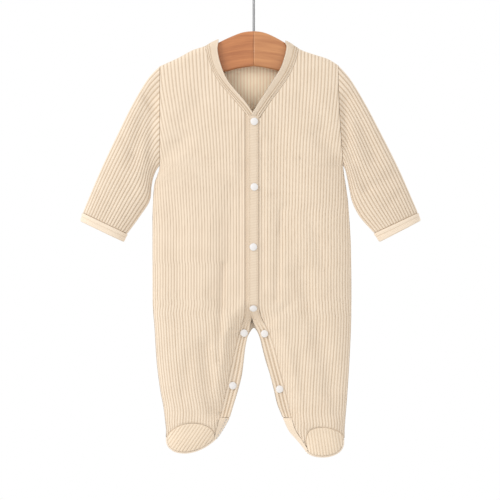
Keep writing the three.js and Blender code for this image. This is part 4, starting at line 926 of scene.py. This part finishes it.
def sole(name):
    """The sole turns up a little round the foot's edge and runs under it to the heel's seam."""
    foot, sign = FEET[name], SIGN[name]
    steps = np.linspace(0, 7, 64)
    turn = through(np.arange(8), SOLE_TURN)(steps)
    back = through(np.arange(8), SOLE_BACK)(steps)
    u = np.linspace(0.0, 0.985, 151)
    split = split_of(name)
    heel = lerp(path_of(foot["heel"])(u), np.array(VAMP_MIDDLE), 0.01)
    inner_side = path_of([*foot["side"], foot["instep"][-1]])(np.minimum(u / split, 1))
    is_front = steps < 2

    def grid(inset):
        columns = []
        for i in range(len(u)):
            reach = np.where(is_front, lerp(inset, SOLE_LIP, turn), lerp(inset, SOLE_LIP, np.minimum(turn, 0.999)))
            ex, ez = inwards(name, np.full(reach.shape, u[i]), reach)
            if u[i] < split:
                fx, fz = lerp(ex, inner_side[i, 0], turn), lerp(ez, inner_side[i, 1], turn)
            else:
                fx, fz = ex, ez
            bx, bz = lerp(ex, heel[i, 0], back), lerp(ez, heel[i, 1] - 0.2, back)
            a, z = np.where(is_front, fx, bx), np.where(is_front, fz, bz)
            columns.append(on_body(sign * a, z, np.where(is_front, FRONT, BACK), inset))
        return np.stack(columns)

    outer = grid(0.0)
    inner = grid(WALL)[::3]
    return outer, inner, np.full(outer.shape[:2], 0.5)


# Small things
def tube_along(points, radius, sides=8, taper=True):
    """Round tubes along many short lines at once. points is lines x steps x 3."""
    points = np.asarray(points, float)
    lines, steps = points.shape[:2]
    along = np.gradient(points, axis=1)
    along = unit(along)
    helper = np.where(np.abs(along[..., 1:2]) < 0.9, [[[0, 1.0, 0]]], [[[1.0, 0, 0]]])
    e1 = np.cross(along, helper)
    e1 = unit(e1)
    e2 = np.cross(along, e1)
    size = np.ones(steps)
    if taper:
        size = np.sqrt(np.clip(1 - np.linspace(-1, 1, steps) ** 4, 0.02, 1))
    angle = np.linspace(0, 2 * np.pi, sides, endpoint=False)
    ring = (np.cos(angle)[:, None] * e1[:, :, None] + np.sin(angle)[:, None] * e2[:, :, None])
    verts = points[:, :, None] + ring * (radius * size)[None, :, None, None]
    base = (np.arange(lines) * steps * sides)[:, None, None]
    r, s = np.arange(steps - 1)[None, :, None], np.arange(sides)[None, None, :]
    n = (s + 1) % sides
    quads = np.stack([base + r * sides + s, base + r * sides + n, base + (r + 1) * sides + n,
                      base + (r + 1) * sides + s], -1).reshape(-1, 4)
    faces = quads.tolist()
    for i in range(lines):
        start = i * steps * sides
        faces.append(list(range(start + sides - 1, start - 1, -1)))
        faces.append(list(range(start + (steps - 1) * sides, start + steps * sides)))
    return verts.reshape(-1, 3), faces


def stitches(line, length=2.1, gap=1.1):
    """Stitches along a line of points, as short lines of five points."""
    s = lengths(line)
    starts = np.arange(gap, s[-1] - length, length + gap)
    at = starts[:, None] + np.linspace(0, length, 5)[None, :]
    return np.stack([np.interp(at, s, line[:, i]) for i in range(3)], -1)


def dome(radius, height, ring, sides):
    """Profile points of a snap cap, turned about +Y."""
    profile = np.array(ring) * [radius, height]
    angle = np.linspace(0, 2 * np.pi, sides, endpoint=False)
    points = np.stack([profile[:, :1] * np.cos(angle), profile[:, 1:] + 0 * angle,
                       profile[:, :1] * np.sin(angle)], -1)
    return points


def frame_at(x, z, lift):
    """Centre, outward direction and two directions along the cloth at a point of the front."""
    def at(dx, dz):
        return on_body(np.array(x + dx), np.array(z + dz), FRONT, -lift)
    across = at(SNAP_RADIUS, 0) - at(-SNAP_RADIUS, 0)
    up = at(0, SNAP_RADIUS) - at(0, -SNAP_RADIUS)
    across /= np.linalg.norm(across)
    outward = np.cross(across, up)
    outward /= np.linalg.norm(outward)
    rim = [(-1, 0), (1, 0), (0, -1), (0, 1), (0.7, 0.7), (-0.7, 0.7), (0.7, -0.7), (-0.7, -0.7)]
    height = max(0, *(float((at(a * SNAP_RADIUS, b * SNAP_RADIUS) - at(0, 0)) @ outward) for a, b in rim))
    return at(0, 0) + outward * height, outward, across, np.cross(outward, across)


# Materials
class Value:
    """A number in a node tree. Arithmetic on it adds Math nodes."""

    def __init__(self, tree, socket):
        self.tree, self.socket = tree, socket

    def math(self, operation, *others):
        node = self.tree.nodes.new("ShaderNodeMath")
        node.operation = operation
        for i, item in enumerate((self, *others)):
            if isinstance(item, Value):
                self.tree.links.new(item.socket, node.inputs[i])
            else:
                node.inputs[i].default_value = item
        return Value(self.tree, node.outputs[0])

    def __add__(self, other):
        return self.math("ADD", other)

    def __sub__(self, other):
        return self.math("SUBTRACT", other)

    def __mul__(self, other):
        return self.math("MULTIPLY", other)

    def __pow__(self, other):
        return self.math("POWER", other)

    def __rsub__(self, other):
        return (self * -1) + other

    def __abs__(self):
        return self.math("ABSOLUTE")

    __radd__, __rmul__ = __add__, __mul__

    def sin(self):
        return self.math("SINE")

    def clamp(self):
        return self.math("MAXIMUM", 0.0).math("MINIMUM", 1.0)


class Surface:
    """A material with one Principled shader."""

    def __init__(self, name, **constants):
        self.material = bpy.data.materials.new(name)
        self.material.use_nodes = True
        self.tree = self.material.node_tree
        self.shader = self.tree.nodes["Principled BSDF"]
        for key, value in constants.items():
            self.shader.inputs[key.replace("_", " ")].default_value = value

    def node(self, kind, settings=None, **inputs):
        """A node of any kind with its settings and inputs."""
        node = self.tree.nodes.new(kind)
        for key, value in (settings or {}).items():
            setattr(node, key, value)
        for key, value in inputs.items():
            self.put(node.inputs[key.replace("_", " ")], value)
        return node

    def put(self, socket, value):
        if isinstance(value, Value):
            self.tree.links.new(value.socket, socket)
        elif isinstance(value, bpy.types.NodeSocket):
            self.tree.links.new(value, socket)
        else:
            socket.default_value = value

    def value(self, socket):
        return Value(self.tree, socket)

    def parts(self, vector):
        node = self.node("ShaderNodeSeparateXYZ", Vector=vector)
        return [self.value(node.outputs[i]) for i in range(3)]

    def place(self):
        return self.node("ShaderNodeTexCoord").outputs["Object"]

    def noise(self, vector, scale, detail=2.0, rough=0.5):
        node = self.node("ShaderNodeTexNoise", Vector=vector, Scale=scale, Detail=detail, Roughness=rough)
        return self.value(node.outputs["Fac"])

    def mix(self, factor, a, b):
        node = self.node("ShaderNodeMix", {"data_type": "RGBA"})
        self.put(node.inputs[0], factor)
        for socket, value in ((node.inputs[6], a), (node.inputs[7], b)):
            self.put(socket, value)
        return node.outputs[2]

    def bump(self, height, distance, strength=1.0, normal=None):
        node = self.node("ShaderNodeBump", Height=height, Distance=distance, Strength=strength)
        if normal is not None:
            self.put(node.inputs["Normal"], normal)
        return node.outputs["Normal"]

    def finish(self, colour=None, roughness=None, normal=None):
        for key, value in (("Base Color", colour), ("Roughness", roughness), ("Normal", normal)):
            if value is not None:
                self.put(self.shader.inputs[key], value)
        return self.material


def srgb(r, g, b):
    """A colour from 0 to 255 in linear light."""
    def one(v):
        c = v / 255
        return c / 12.92 if c <= 0.04045 else ((c + 0.055) / 1.055) ** 2.4
    return (one(r), one(g), one(b), 1.0)


def knit(name, crest, groove, course, bump):
    """Knitted cotton: crest colour on the ribs, a darker groove colour between them as painted shade in the grooves,
    small loops of one wale by one course, and a little unevenness.
    The inner wall is painted paler, as painted light that comes through the cloth, with painted shade between its ribs."""
    s = Surface(name, Roughness=0.92, Sheen_Weight=0.25, Sheen_Roughness=0.5, Specular_IOR_Level=0.25)
    uv = s.node("ShaderNodeUVMap", {"uv_map": "cloth"}).outputs["UV"]
    u, v, _ = s.parts(uv)
    relief = s.value(s.node("ShaderNodeAttribute", {"attribute_name": "rib"}).outputs["Fac"])
    wale = abs((u * math.pi).sin())
    loops = wale * ((v * (2 * math.pi / course) + wale * 1.4).sin() * 0.5 + 0.5)
    place = s.place()
    patch = s.noise(place, 45.0, 3.0)
    fuzz = s.noise(place, 900.0, 2.0, 0.7)
    # painted shade: the rib relief mixes the darker groove colour in between the ribs
    ridge = relief.clamp() ** 0.8
    tint = (ridge * 0.92 + loops * 0.16 + patch * 0.22 - 0.12).clamp()
    outside = s.mix(tint, srgb(*groove), srgb(*crest))
    # painted light on the inner wall, with painted shade between its ribs
    inside_rib_shade = abs((u * (math.pi / NOMINAL_PITCH)).sin())
    inside = s.value(s.node("ShaderNodeAttribute", {"attribute_name": "inside"}).outputs["Fac"])
    colour = s.mix(inside, outside, s.mix(inside_rib_shade, srgb(*INSIDE_LIT_GROOVE), srgb(*INSIDE_LIT_CREST)))
    normal = s.bump(loops * 0.8 + fuzz * 0.5, bump * MM)
    return s.finish(colour, None, normal)


BINDING_WALE = 0.9  # width of a wale of the bands


def binding(name, light, dark, course, bump):
    """Flat knit of the bands: courses across their length, crossed by fine wales. Its colour follows the relief, darker
    in the grooves as painted shade and lighter on the ridges as painted light.
    """
    s = Surface(name, Roughness=0.9, Sheen_Weight=0.2, Sheen_Roughness=0.5, Specular_IOR_Level=0.25)
    uv = s.node("ShaderNodeUVMap", {"uv_map": "cloth"}).outputs["UV"]
    u, v, _ = s.parts(uv)
    relief = s.value(s.node("ShaderNodeAttribute", {"attribute_name": "rib"}).outputs["Fac"])
    cross = (v * (2 * math.pi / course)).sin() * 0.5 + 0.5
    wale = abs((u * (math.pi / BINDING_WALE)).sin())
    place = s.place()
    patch = s.noise(place, 60.0, 3.0)
    fuzz = s.noise(place, 900.0, 2.0, 0.7)
    # painted shade and light: the relief darkens the grooves and lightens the ridges
    tint = (relief * 1.1 + cross * 0.4 + patch * 0.25 + 0.25).clamp()
    colour = s.mix(tint, srgb(*dark), srgb(*light))
    normal = s.bump(cross * (wale * 0.4 + 0.6) + fuzz * 0.5, bump * MM)
    return s.finish(colour, None, normal)


def wood(name, light, dark):
    """Lacquered wood: noise drawn out along the arm, bent with it."""
    s = Surface(name, Roughness=0.42, Coat_Weight=0.25, Coat_Roughness=0.25)
    x, y, z = s.parts(s.place())
    droop = x * x * 3.2
    grain = s.node("ShaderNodeCombineXYZ", X=x * 14.0, Y=y * 120.0, Z=(z + droop) * 190.0).outputs[0]
    streak = s.noise(grain, 1.0, 4.0, 0.6)
    fine = s.noise(s.node("ShaderNodeCombineXYZ", X=x * 60.0, Y=y * 900.0, Z=(z + droop) * 1500.0).outputs[0], 1.0, 2.0)
    tint = (streak * 1.5 + fine * 0.35 - 0.45).clamp()
    colour = s.mix(tint, srgb(*dark), srgb(*light))
    return s.finish(colour, (1 - tint) * 0.12 + 0.36, s.bump(fine, 0.05 * MM, 0.5))


def plain(name, colour, bump=0.0, **constants):
    """A smooth surface with a trace of unevenness in colour and roughness."""
    s = Surface(name, **constants)
    uneven = s.noise(s.place(), 180.0, 3.0)
    low = tuple(c * 0.96 for c in colour[:3]) + (1.0,)
    rough = constants["Roughness"]
    return s.finish(s.mix(uneven, low, colour), uneven * 0.08 + (rough - 0.04),
                    s.bump(uneven, bump * MM) if bump else None)


# Painted light: the inside of the cloth is painted paler, for light that comes through the cloth, and darker between
# its ribs as painted shade
INSIDE_LIT_CREST, INSIDE_LIT_GROOVE = (255, 238, 210), (240, 208, 173)
# the second colour of each knit is painted shade in its rib grooves
KNIT = knit("rib_knit", (233, 216, 195), (186, 161, 132), 0.9, 0.16)
VAMP_KNIT = knit("foot_knit", (233, 215, 192), (206, 184, 157), 0.9, 0.16)
# the darker colour of each binding is painted shade in its grooves
BINDING = binding("binding_knit", (231, 214, 193), (192, 169, 142), 2.1, 0.22)
SOLE_KNIT = binding("sole_knit", (230, 212, 190), (200, 178, 151), 1.1, 0.12)
THREAD = plain("thread", srgb(228, 211, 189), Roughness=0.8, Sheen_Weight=0.2)
GRIP = plain("grip_dots", srgb(190, 186, 181), Roughness=0.5)
CAP = plain("snap_cap", srgb(226, 223, 221), Roughness=0.28, Coat_Weight=0.3, Coat_Roughness=0.1)
WOOD_DARK = wood("wood_left", (206, 137, 84), (152, 88, 50))
WOOD_LIGHT = wood("wood_right", (209, 148, 96), (162, 101, 61))
WIRE = plain("wire", srgb(144, 144, 145), Metallic=1.0, Roughness=0.3)
FLOOR = plain("floor", srgb(244, 243, 241), Roughness=0.9)

# Cloth pieces
pieces = {}
for side in ("left", "right"):
    outer, inner, relief, u, v = front_panel(side)
    pieces[f"front_{side}"] = cloth(f"cloth_front_{side}", outer, inner, relief, "rib_knit", KNIT, u=u, v=v)

halves = [back_half(side) for side in ("left", "right")]
joined = [np.concatenate([left[:0:-1], right]) for left, right in zip(*halves)]
pieces["back"] = cloth("cloth_back", *joined[:3], "rib_knit", KNIT, u=joined[3], v=joined[4])

for side, level in (("left", BAND_UNDER), ("right", BAND_OVER)):
    outer, inner, relief = front_band(side, level)
    pieces[f"front_band_{side}"] = cloth(f"cloth_band_{side}", outer, inner, relief, "binding_knit", BINDING)

rows = resample(back_band_rows(), 1.4)
outer, inner, relief = strip_grid(
    *rows, BACK, lambda k, edge, i: 0.4 * np.cos(6 * np.pi * (k - 0.5)) * smooth(edge / 2) + 0.1 + 0 * i,
    BAND_WALL, BAND_LEG)
pieces["back_leg_band"] = cloth("cloth_back_band", outer, inner, relief, "binding_knit", BINDING)

neck = neck_band()
pieces["neck_band"] = cloth("cloth_neck_band", *neck, "binding_knit", BINDING)

for side in ("left", "right"):
    outer, inner, relief = sleeve(side)
    pieces[f"sleeve_{side}"] = cloth(f"cloth_sleeve_{side}", outer, inner, relief, "rib_knit", KNIT, tube=True)
    outer, inner, relief = cuff(side)
    pieces[f"cuff_{side}"] = cloth(f"cloth_cuff_{side}", outer, inner, relief, "binding_knit", BINDING, tube=True)
    outer, inner, relief, u, v = vamp(side)
    pieces[f"vamp_{side}"] = cloth(f"cloth_vamp_{side}", outer, inner, relief, "rib_knit", VAMP_KNIT, u=u, v=v)
    outer, inner, relief = sole(side)
    pieces[f"sole_{side}"] = cloth(f"cloth_sole_{side}", outer, inner, relief, "binding_knit", SOLE_KNIT)

for node, piece in pieces.items():
    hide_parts(node)

# Hanger
def hanger_half(name):
    """Half of the hanger: the outline drawn in by R (1 - cos a) where the edge is rounded off by R,
    at the depth H - R + R sin a."""
    sign = SIGN[name]
    line = path_of([(sign * a, z) for a, z in WOOD[name]])(np.linspace(0, 1, 181))
    along = np.gradient(line, axis=0)
    along = unit(along)
    normal = np.stack([along[:, 1], -along[:, 0]], -1) * -sign
    normal[0], normal[-1] = (0, 1), (0, -1)
    angle = np.linspace(np.pi / 2, 0, 8)
    draw = WOOD_ROUND * (1 - np.cos(angle))
    depth = WOOD_HALF - WOOD_ROUND + WOOD_ROUND * np.sin(angle)
    draw, depth = np.concatenate([draw, draw[::-1]]), np.concatenate([-depth, depth[::-1]])
    x = line[:, :1] - normal[:, :1] * draw
    z = line[:, 1:] - normal[:, 1:] * draw
    x = np.where(np.abs(x) < WOOD_JOINT, sign * WOOD_JOINT, x)
    x[0] = x[-1] = sign * WOOD_JOINT
    points = np.stack([x, np.broadcast_to(depth, x.shape), z], -1)
    n, m = points.shape[:2]
    faces = grid_faces(n, m).tolist()
    faces.append([i * m for i in range(n)][::-1])
    faces.append([i * m + m - 1 for i in range(n)])
    faces.append([*range(m), *[(n - 1) * m + i for i in range(m - 1, -1, -1)]])
    if sign > 0:
        faces = [face[::-1] for face in faces]
    return points.reshape(-1, 3), faces


for side, look in (("left", WOOD_DARK), ("right", WOOD_LIGHT)):
    arm = make(f"wood_arm_{side}", *hanger_half(side), "hanger_wood", look)
    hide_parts(f"hanger_arm_{side}")


def hook_line():
    """The wire's centre line: round the rail, back to the middle in a reverse bend, straight down."""
    turn, back = math.radians(HOOK_TIP_ANGLE - HOOK_END_ANGLE), math.radians(-HOOK_END_ANGLE)
    centre = WIRE_RADIUS - HOOK_RADIUS
    stem_top = centre - 2 * HOOK_RADIUS * math.sin(back)
    a = math.radians(HOOK_TIP_ANGLE) - np.linspace(0, turn, 70)
    first = np.stack([HOOK_RADIUS * np.cos(a), 0 * a, centre + HOOK_RADIUS * np.sin(a)], -1)
    b = np.pi - back + np.linspace(0, back, 24)[1:]
    shift = 2 * HOOK_RADIUS * math.cos(back)
    second = np.stack([shift + HOOK_RADIUS * np.cos(b), 0 * b, stem_top + HOOK_RADIUS * np.sin(b)], -1)
    z = np.linspace(stem_top, STEM_END_Z, 16)[1:]
    return np.concatenate([first, second, np.stack([0 * z, 0 * z, z], -1)])


hook = make("wire_hook", *tube_along(hook_line()[None], WIRE_RADIUS, 20, taper=False), "hook_wire", WIRE)
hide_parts("hanger_hook")

# Snaps
CAP_RING = [(0.0, 0.0), (0.9, 0.0), (0.98, 0.12), (1.0, 0.3), (0.96, 0.48), (0.88, 0.6), (0.82, 0.62),
            (0.7, 0.76), (0.5, 0.9), (0.25, 0.98), (0.0, 1.0)]
for i, (x, z) in enumerate(SNAPS):
    level = float(lerp(BAND_OVER, BAND_LEG, smooth((FORK_Z - 6 - z) / 16)))
    centre, outward, across, up = frame_at(x, z, level + SNAP_STANDOFF)
    local = dome(SNAP_RADIUS, SNAP_HEIGHT, CAP_RING, 40)
    points = centre + local[..., :1] * across + local[..., 1:2] * outward + local[..., 2:] * up
    n, m = local.shape[:2]
    faces = [face[::-1] for face in grid_faces(m, n, tube=True).tolist()]
    cap = make(f"cap_{i + 1}", points.transpose(1, 0, 2).reshape(-1, 3), faces, "snap_cap", CAP)
    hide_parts(f"snap_{i + 1}")

# Sewing
def sewn(name, lines):
    """Rows of stitches along lines of points, as one piece."""
    threads = np.concatenate([stitches(line) for line in lines])
    return make(name, *tube_along(threads, THREAD_RADIUS, 6), "binding_knit", THREAD)


NEEDLE_ROWS = (20, 24)  # rows of the neck band's grid in its two grooves
z = np.arange(-212.0, FORK_Z + 2, -1.0)
placket_in, placket_out = rows_through(BAND_RIGHT, "inner", "seam")
placket = [on_body(x, z, FRONT, -BAND_OVER)
           for x in (placket_in(z) + PLACKET_STITCH, placket_out(z) - PLACKET_STITCH)]
sew_placket = sewn("sewing_placket", placket)
sew_neck = sewn("sewing_neck", [neck[0][row] for row in NEEDLE_ROWS])

# Grip dots under the soles
DOT_STEP, DOT_ROW = 4.4, 3.8  # apart along a row, and from row to row
DOT_RING = [(1.15, -0.2), (1.1, 0.3), (0.7, 0.55), (0.0, 0.62)]  # radius and height
DOT_SIDES = 8
DOT_MARGIN = 3.0  # from a row's ends
BEHIND = 2.7  # step of the sole behind its edge
DOTS_IN_FRONT = {"left": 0.3, "right": 0.0}  # part of the outline along which they show from the front


def grip_dots(name, side, outer):
    """Staggered dots on the sole, at equal steps of cloth along curves from the lip to the heel's
    seam, each a low dome about the surface's normal."""
    steps = np.linspace(0, 7, outer.shape[1])
    reach = arc_lengths(outer, 1).mean(0)
    rows = np.arange(np.interp(SOLE_START, steps, reach), reach[-1] - 2.5, DOT_ROW)
    centres, normals = [], []
    for n, row in enumerate(rows):
        at = np.interp(row, reach, np.arange(len(steps)))
        i, k = int(at), at - int(at)
        curve, beside = lerp(outer[:, i], outer[:, i + 1], k), outer[:, i + 1] - outer[:, i]
        length = lengths(curve)
        last = length[-1] if at > BEHIND * len(steps) / 7 else DOTS_IN_FRONT[side] * length[-1]
        place = np.arange(DOT_MARGIN + DOT_STEP / 2 * (n % 2), last - DOT_MARGIN, DOT_STEP)
        centre, along, across = (np.stack([np.interp(place, length, line[:, j]) for j in range(3)], -1)
                                 for line in (curve, np.gradient(curve, axis=0), beside))
        centres.append(centre)
        normals.append(np.cross(along, across))
    centre, normal = np.concatenate(centres), np.concatenate(normals)
    normal = unit(normal)
    middle_point = outer.reshape(-1, 3).mean(0)
    if ((centre - middle_point) * normal).sum() < 0:
        normal = -normal
    e1 = np.cross(normal, [[0.3, 0.2, 1.0]])
    e1 = unit(e1)
    e2 = np.cross(normal, e1)
    a = np.linspace(0, 2 * np.pi, DOT_SIDES, endpoint=False)[None, None, :, None]
    ring = np.array(DOT_RING)[None, :, None, :]
    points = (centre[:, None, None] + ring[..., 1:] * normal[:, None, None]
              + ring[..., :1] * (np.cos(a) * e1[:, None, None] + np.sin(a) * e2[:, None, None]))
    m = len(DOT_RING)
    d, r, c = np.meshgrid(np.arange(len(centre)), np.arange(m - 1), np.arange(DOT_SIDES), indexing="ij")
    ends = ((r, c), (r, c + 1), (r + 1, c + 1), (r + 1, c))
    faces = np.stack([(d * m + row) * DOT_SIDES + column % DOT_SIDES for row, column in ends], -1)
    return make(name, points.reshape(-1, 3), faces.reshape(-1, 4).tolist(), "binding_knit", GRIP)


dots = {side: grip_dots(f"grip_dots_{side}", side, sole(side)[0]) for side in ("left", "right")}

# Cloth sheets: each sheet's flat size in m, its area in m2 where it isn't a plain strip, and what
# it rests on
HANGER = ["wood_arm_left", "wood_arm_right"]
FLATS = {
    "front_left": ((0.150, 0.520), 0.0583, HANGER),
    "front_right": ((0.150, 0.525), 0.0569, HANGER),
    "back": ((0.300, 0.515), 0.1238, HANGER),
    "neck_band": ((0.0165, 0.355), None, HANGER),
    "front_band_left": ((0.015, 0.425), None, ["cloth_front_left"]),
    "front_band_right": ((0.0145, 0.428), None, ["cloth_front_right"]),
    "back_leg_band": ((0.0145, 0.288), None, ["cloth_back"]),
    "sleeve_left": ((0.140, 0.225), 0.0264, ["cloth_front_left"]),
    "sleeve_right": ((0.140, 0.225), 0.0259, ["cloth_front_right"]),
    "cuff_left": ((0.0145, 0.140), None, ["cloth_sleeve_left"]),
    "cuff_right": ((0.0147, 0.140), None, ["cloth_sleeve_right"]),
    "vamp_left": ((0.065, 0.040), 0.0022, ["cloth_front_left"]),
    "vamp_right": ((0.055, 0.042), 0.0019, ["cloth_front_right"]),
    "sole_left": ((0.105, 0.055), 0.0052, ["cloth_back"]),
    "sole_right": ((0.105, 0.058), 0.0055, ["cloth_back"]),
}
TRIM = {"front_band_right": [sew_placket], "neck_band": [sew_neck], "sole_left": [dots["left"]],
        "sole_right": [dots["right"]]}
for node, (flat, area, rests) in FLATS.items():
    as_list(TRIM.get(node, []))

# Stage, light and camera
FLOOR_SIDES = 96
LIGHT_AIM = (0.0, 0.0, -0.38)  # the garment's middle
angle = np.linspace(0, 2 * np.pi, FLOOR_SIDES, endpoint=False)
rim = [(FLOOR_RADIUS * math.cos(a), FLOOR_RADIUS * math.sin(a), FLOOR_Z) for a in angle]
disc = bpy.data.meshes.new("floor")
disc.from_pydata(rim, [], [list(range(FLOOR_SIDES))])
disc.materials.append(FLOOR)
floor = bpy.data.objects.new("floor", disc)
bpy.context.scene.collection.objects.link(floor)

world = bpy.data.worlds.new("studio")
bpy.context.scene.world = world
world.use_nodes = True
world.node_tree.nodes["Background"].inputs["Color"].default_value = (1.0, 1.0, 1.0, 1.0)
world.node_tree.nodes["Background"].inputs["Strength"].default_value = 1.0
bpy.context.scene.view_settings.view_transform = "Standard"


def soft_light(name, at, size, watts):
    """A square light that faces the garment's middle."""
    data = bpy.data.lights.new(name, "AREA")
    data.size, data.energy = size, watts
    lamp = bpy.data.objects.new(name, data)
    bpy.context.scene.collection.objects.link(lamp)
    lamp.location = at
    x, y, z = (aim - start for aim, start in zip(LIGHT_AIM, at))
    lamp.rotation_euler = (math.atan2(math.hypot(x, y), -z), 0, math.atan2(x, -y) + math.pi)


soft_light("key", (-1.9, -1.3, 0.7), 0.9, 24.0)
soft_light("rim", (1.4, 1.4, 0.6), 1.0, 14.0)

lens = bpy.data.cameras.new("camera")
lens.sensor_width = SENSOR
distance = CAMERA_DISTANCE + VIEW_PLANE_Y * MM
lens.lens = SENSOR * distance / (PIXELS * MM_PER_PIXEL * MM)
lens.clip_start, lens.clip_end = 0.05, 50
camera = bpy.data.objects.new("camera", lens)
bpy.context.scene.collection.objects.link(camera)
camera.location = (VIEW_CENTRE[0] * MM, -CAMERA_DISTANCE, VIEW_CENTRE[1] * MM)
camera.rotation_euler = (math.pi / 2, 0, 0)
bpy.context.scene.camera = camera
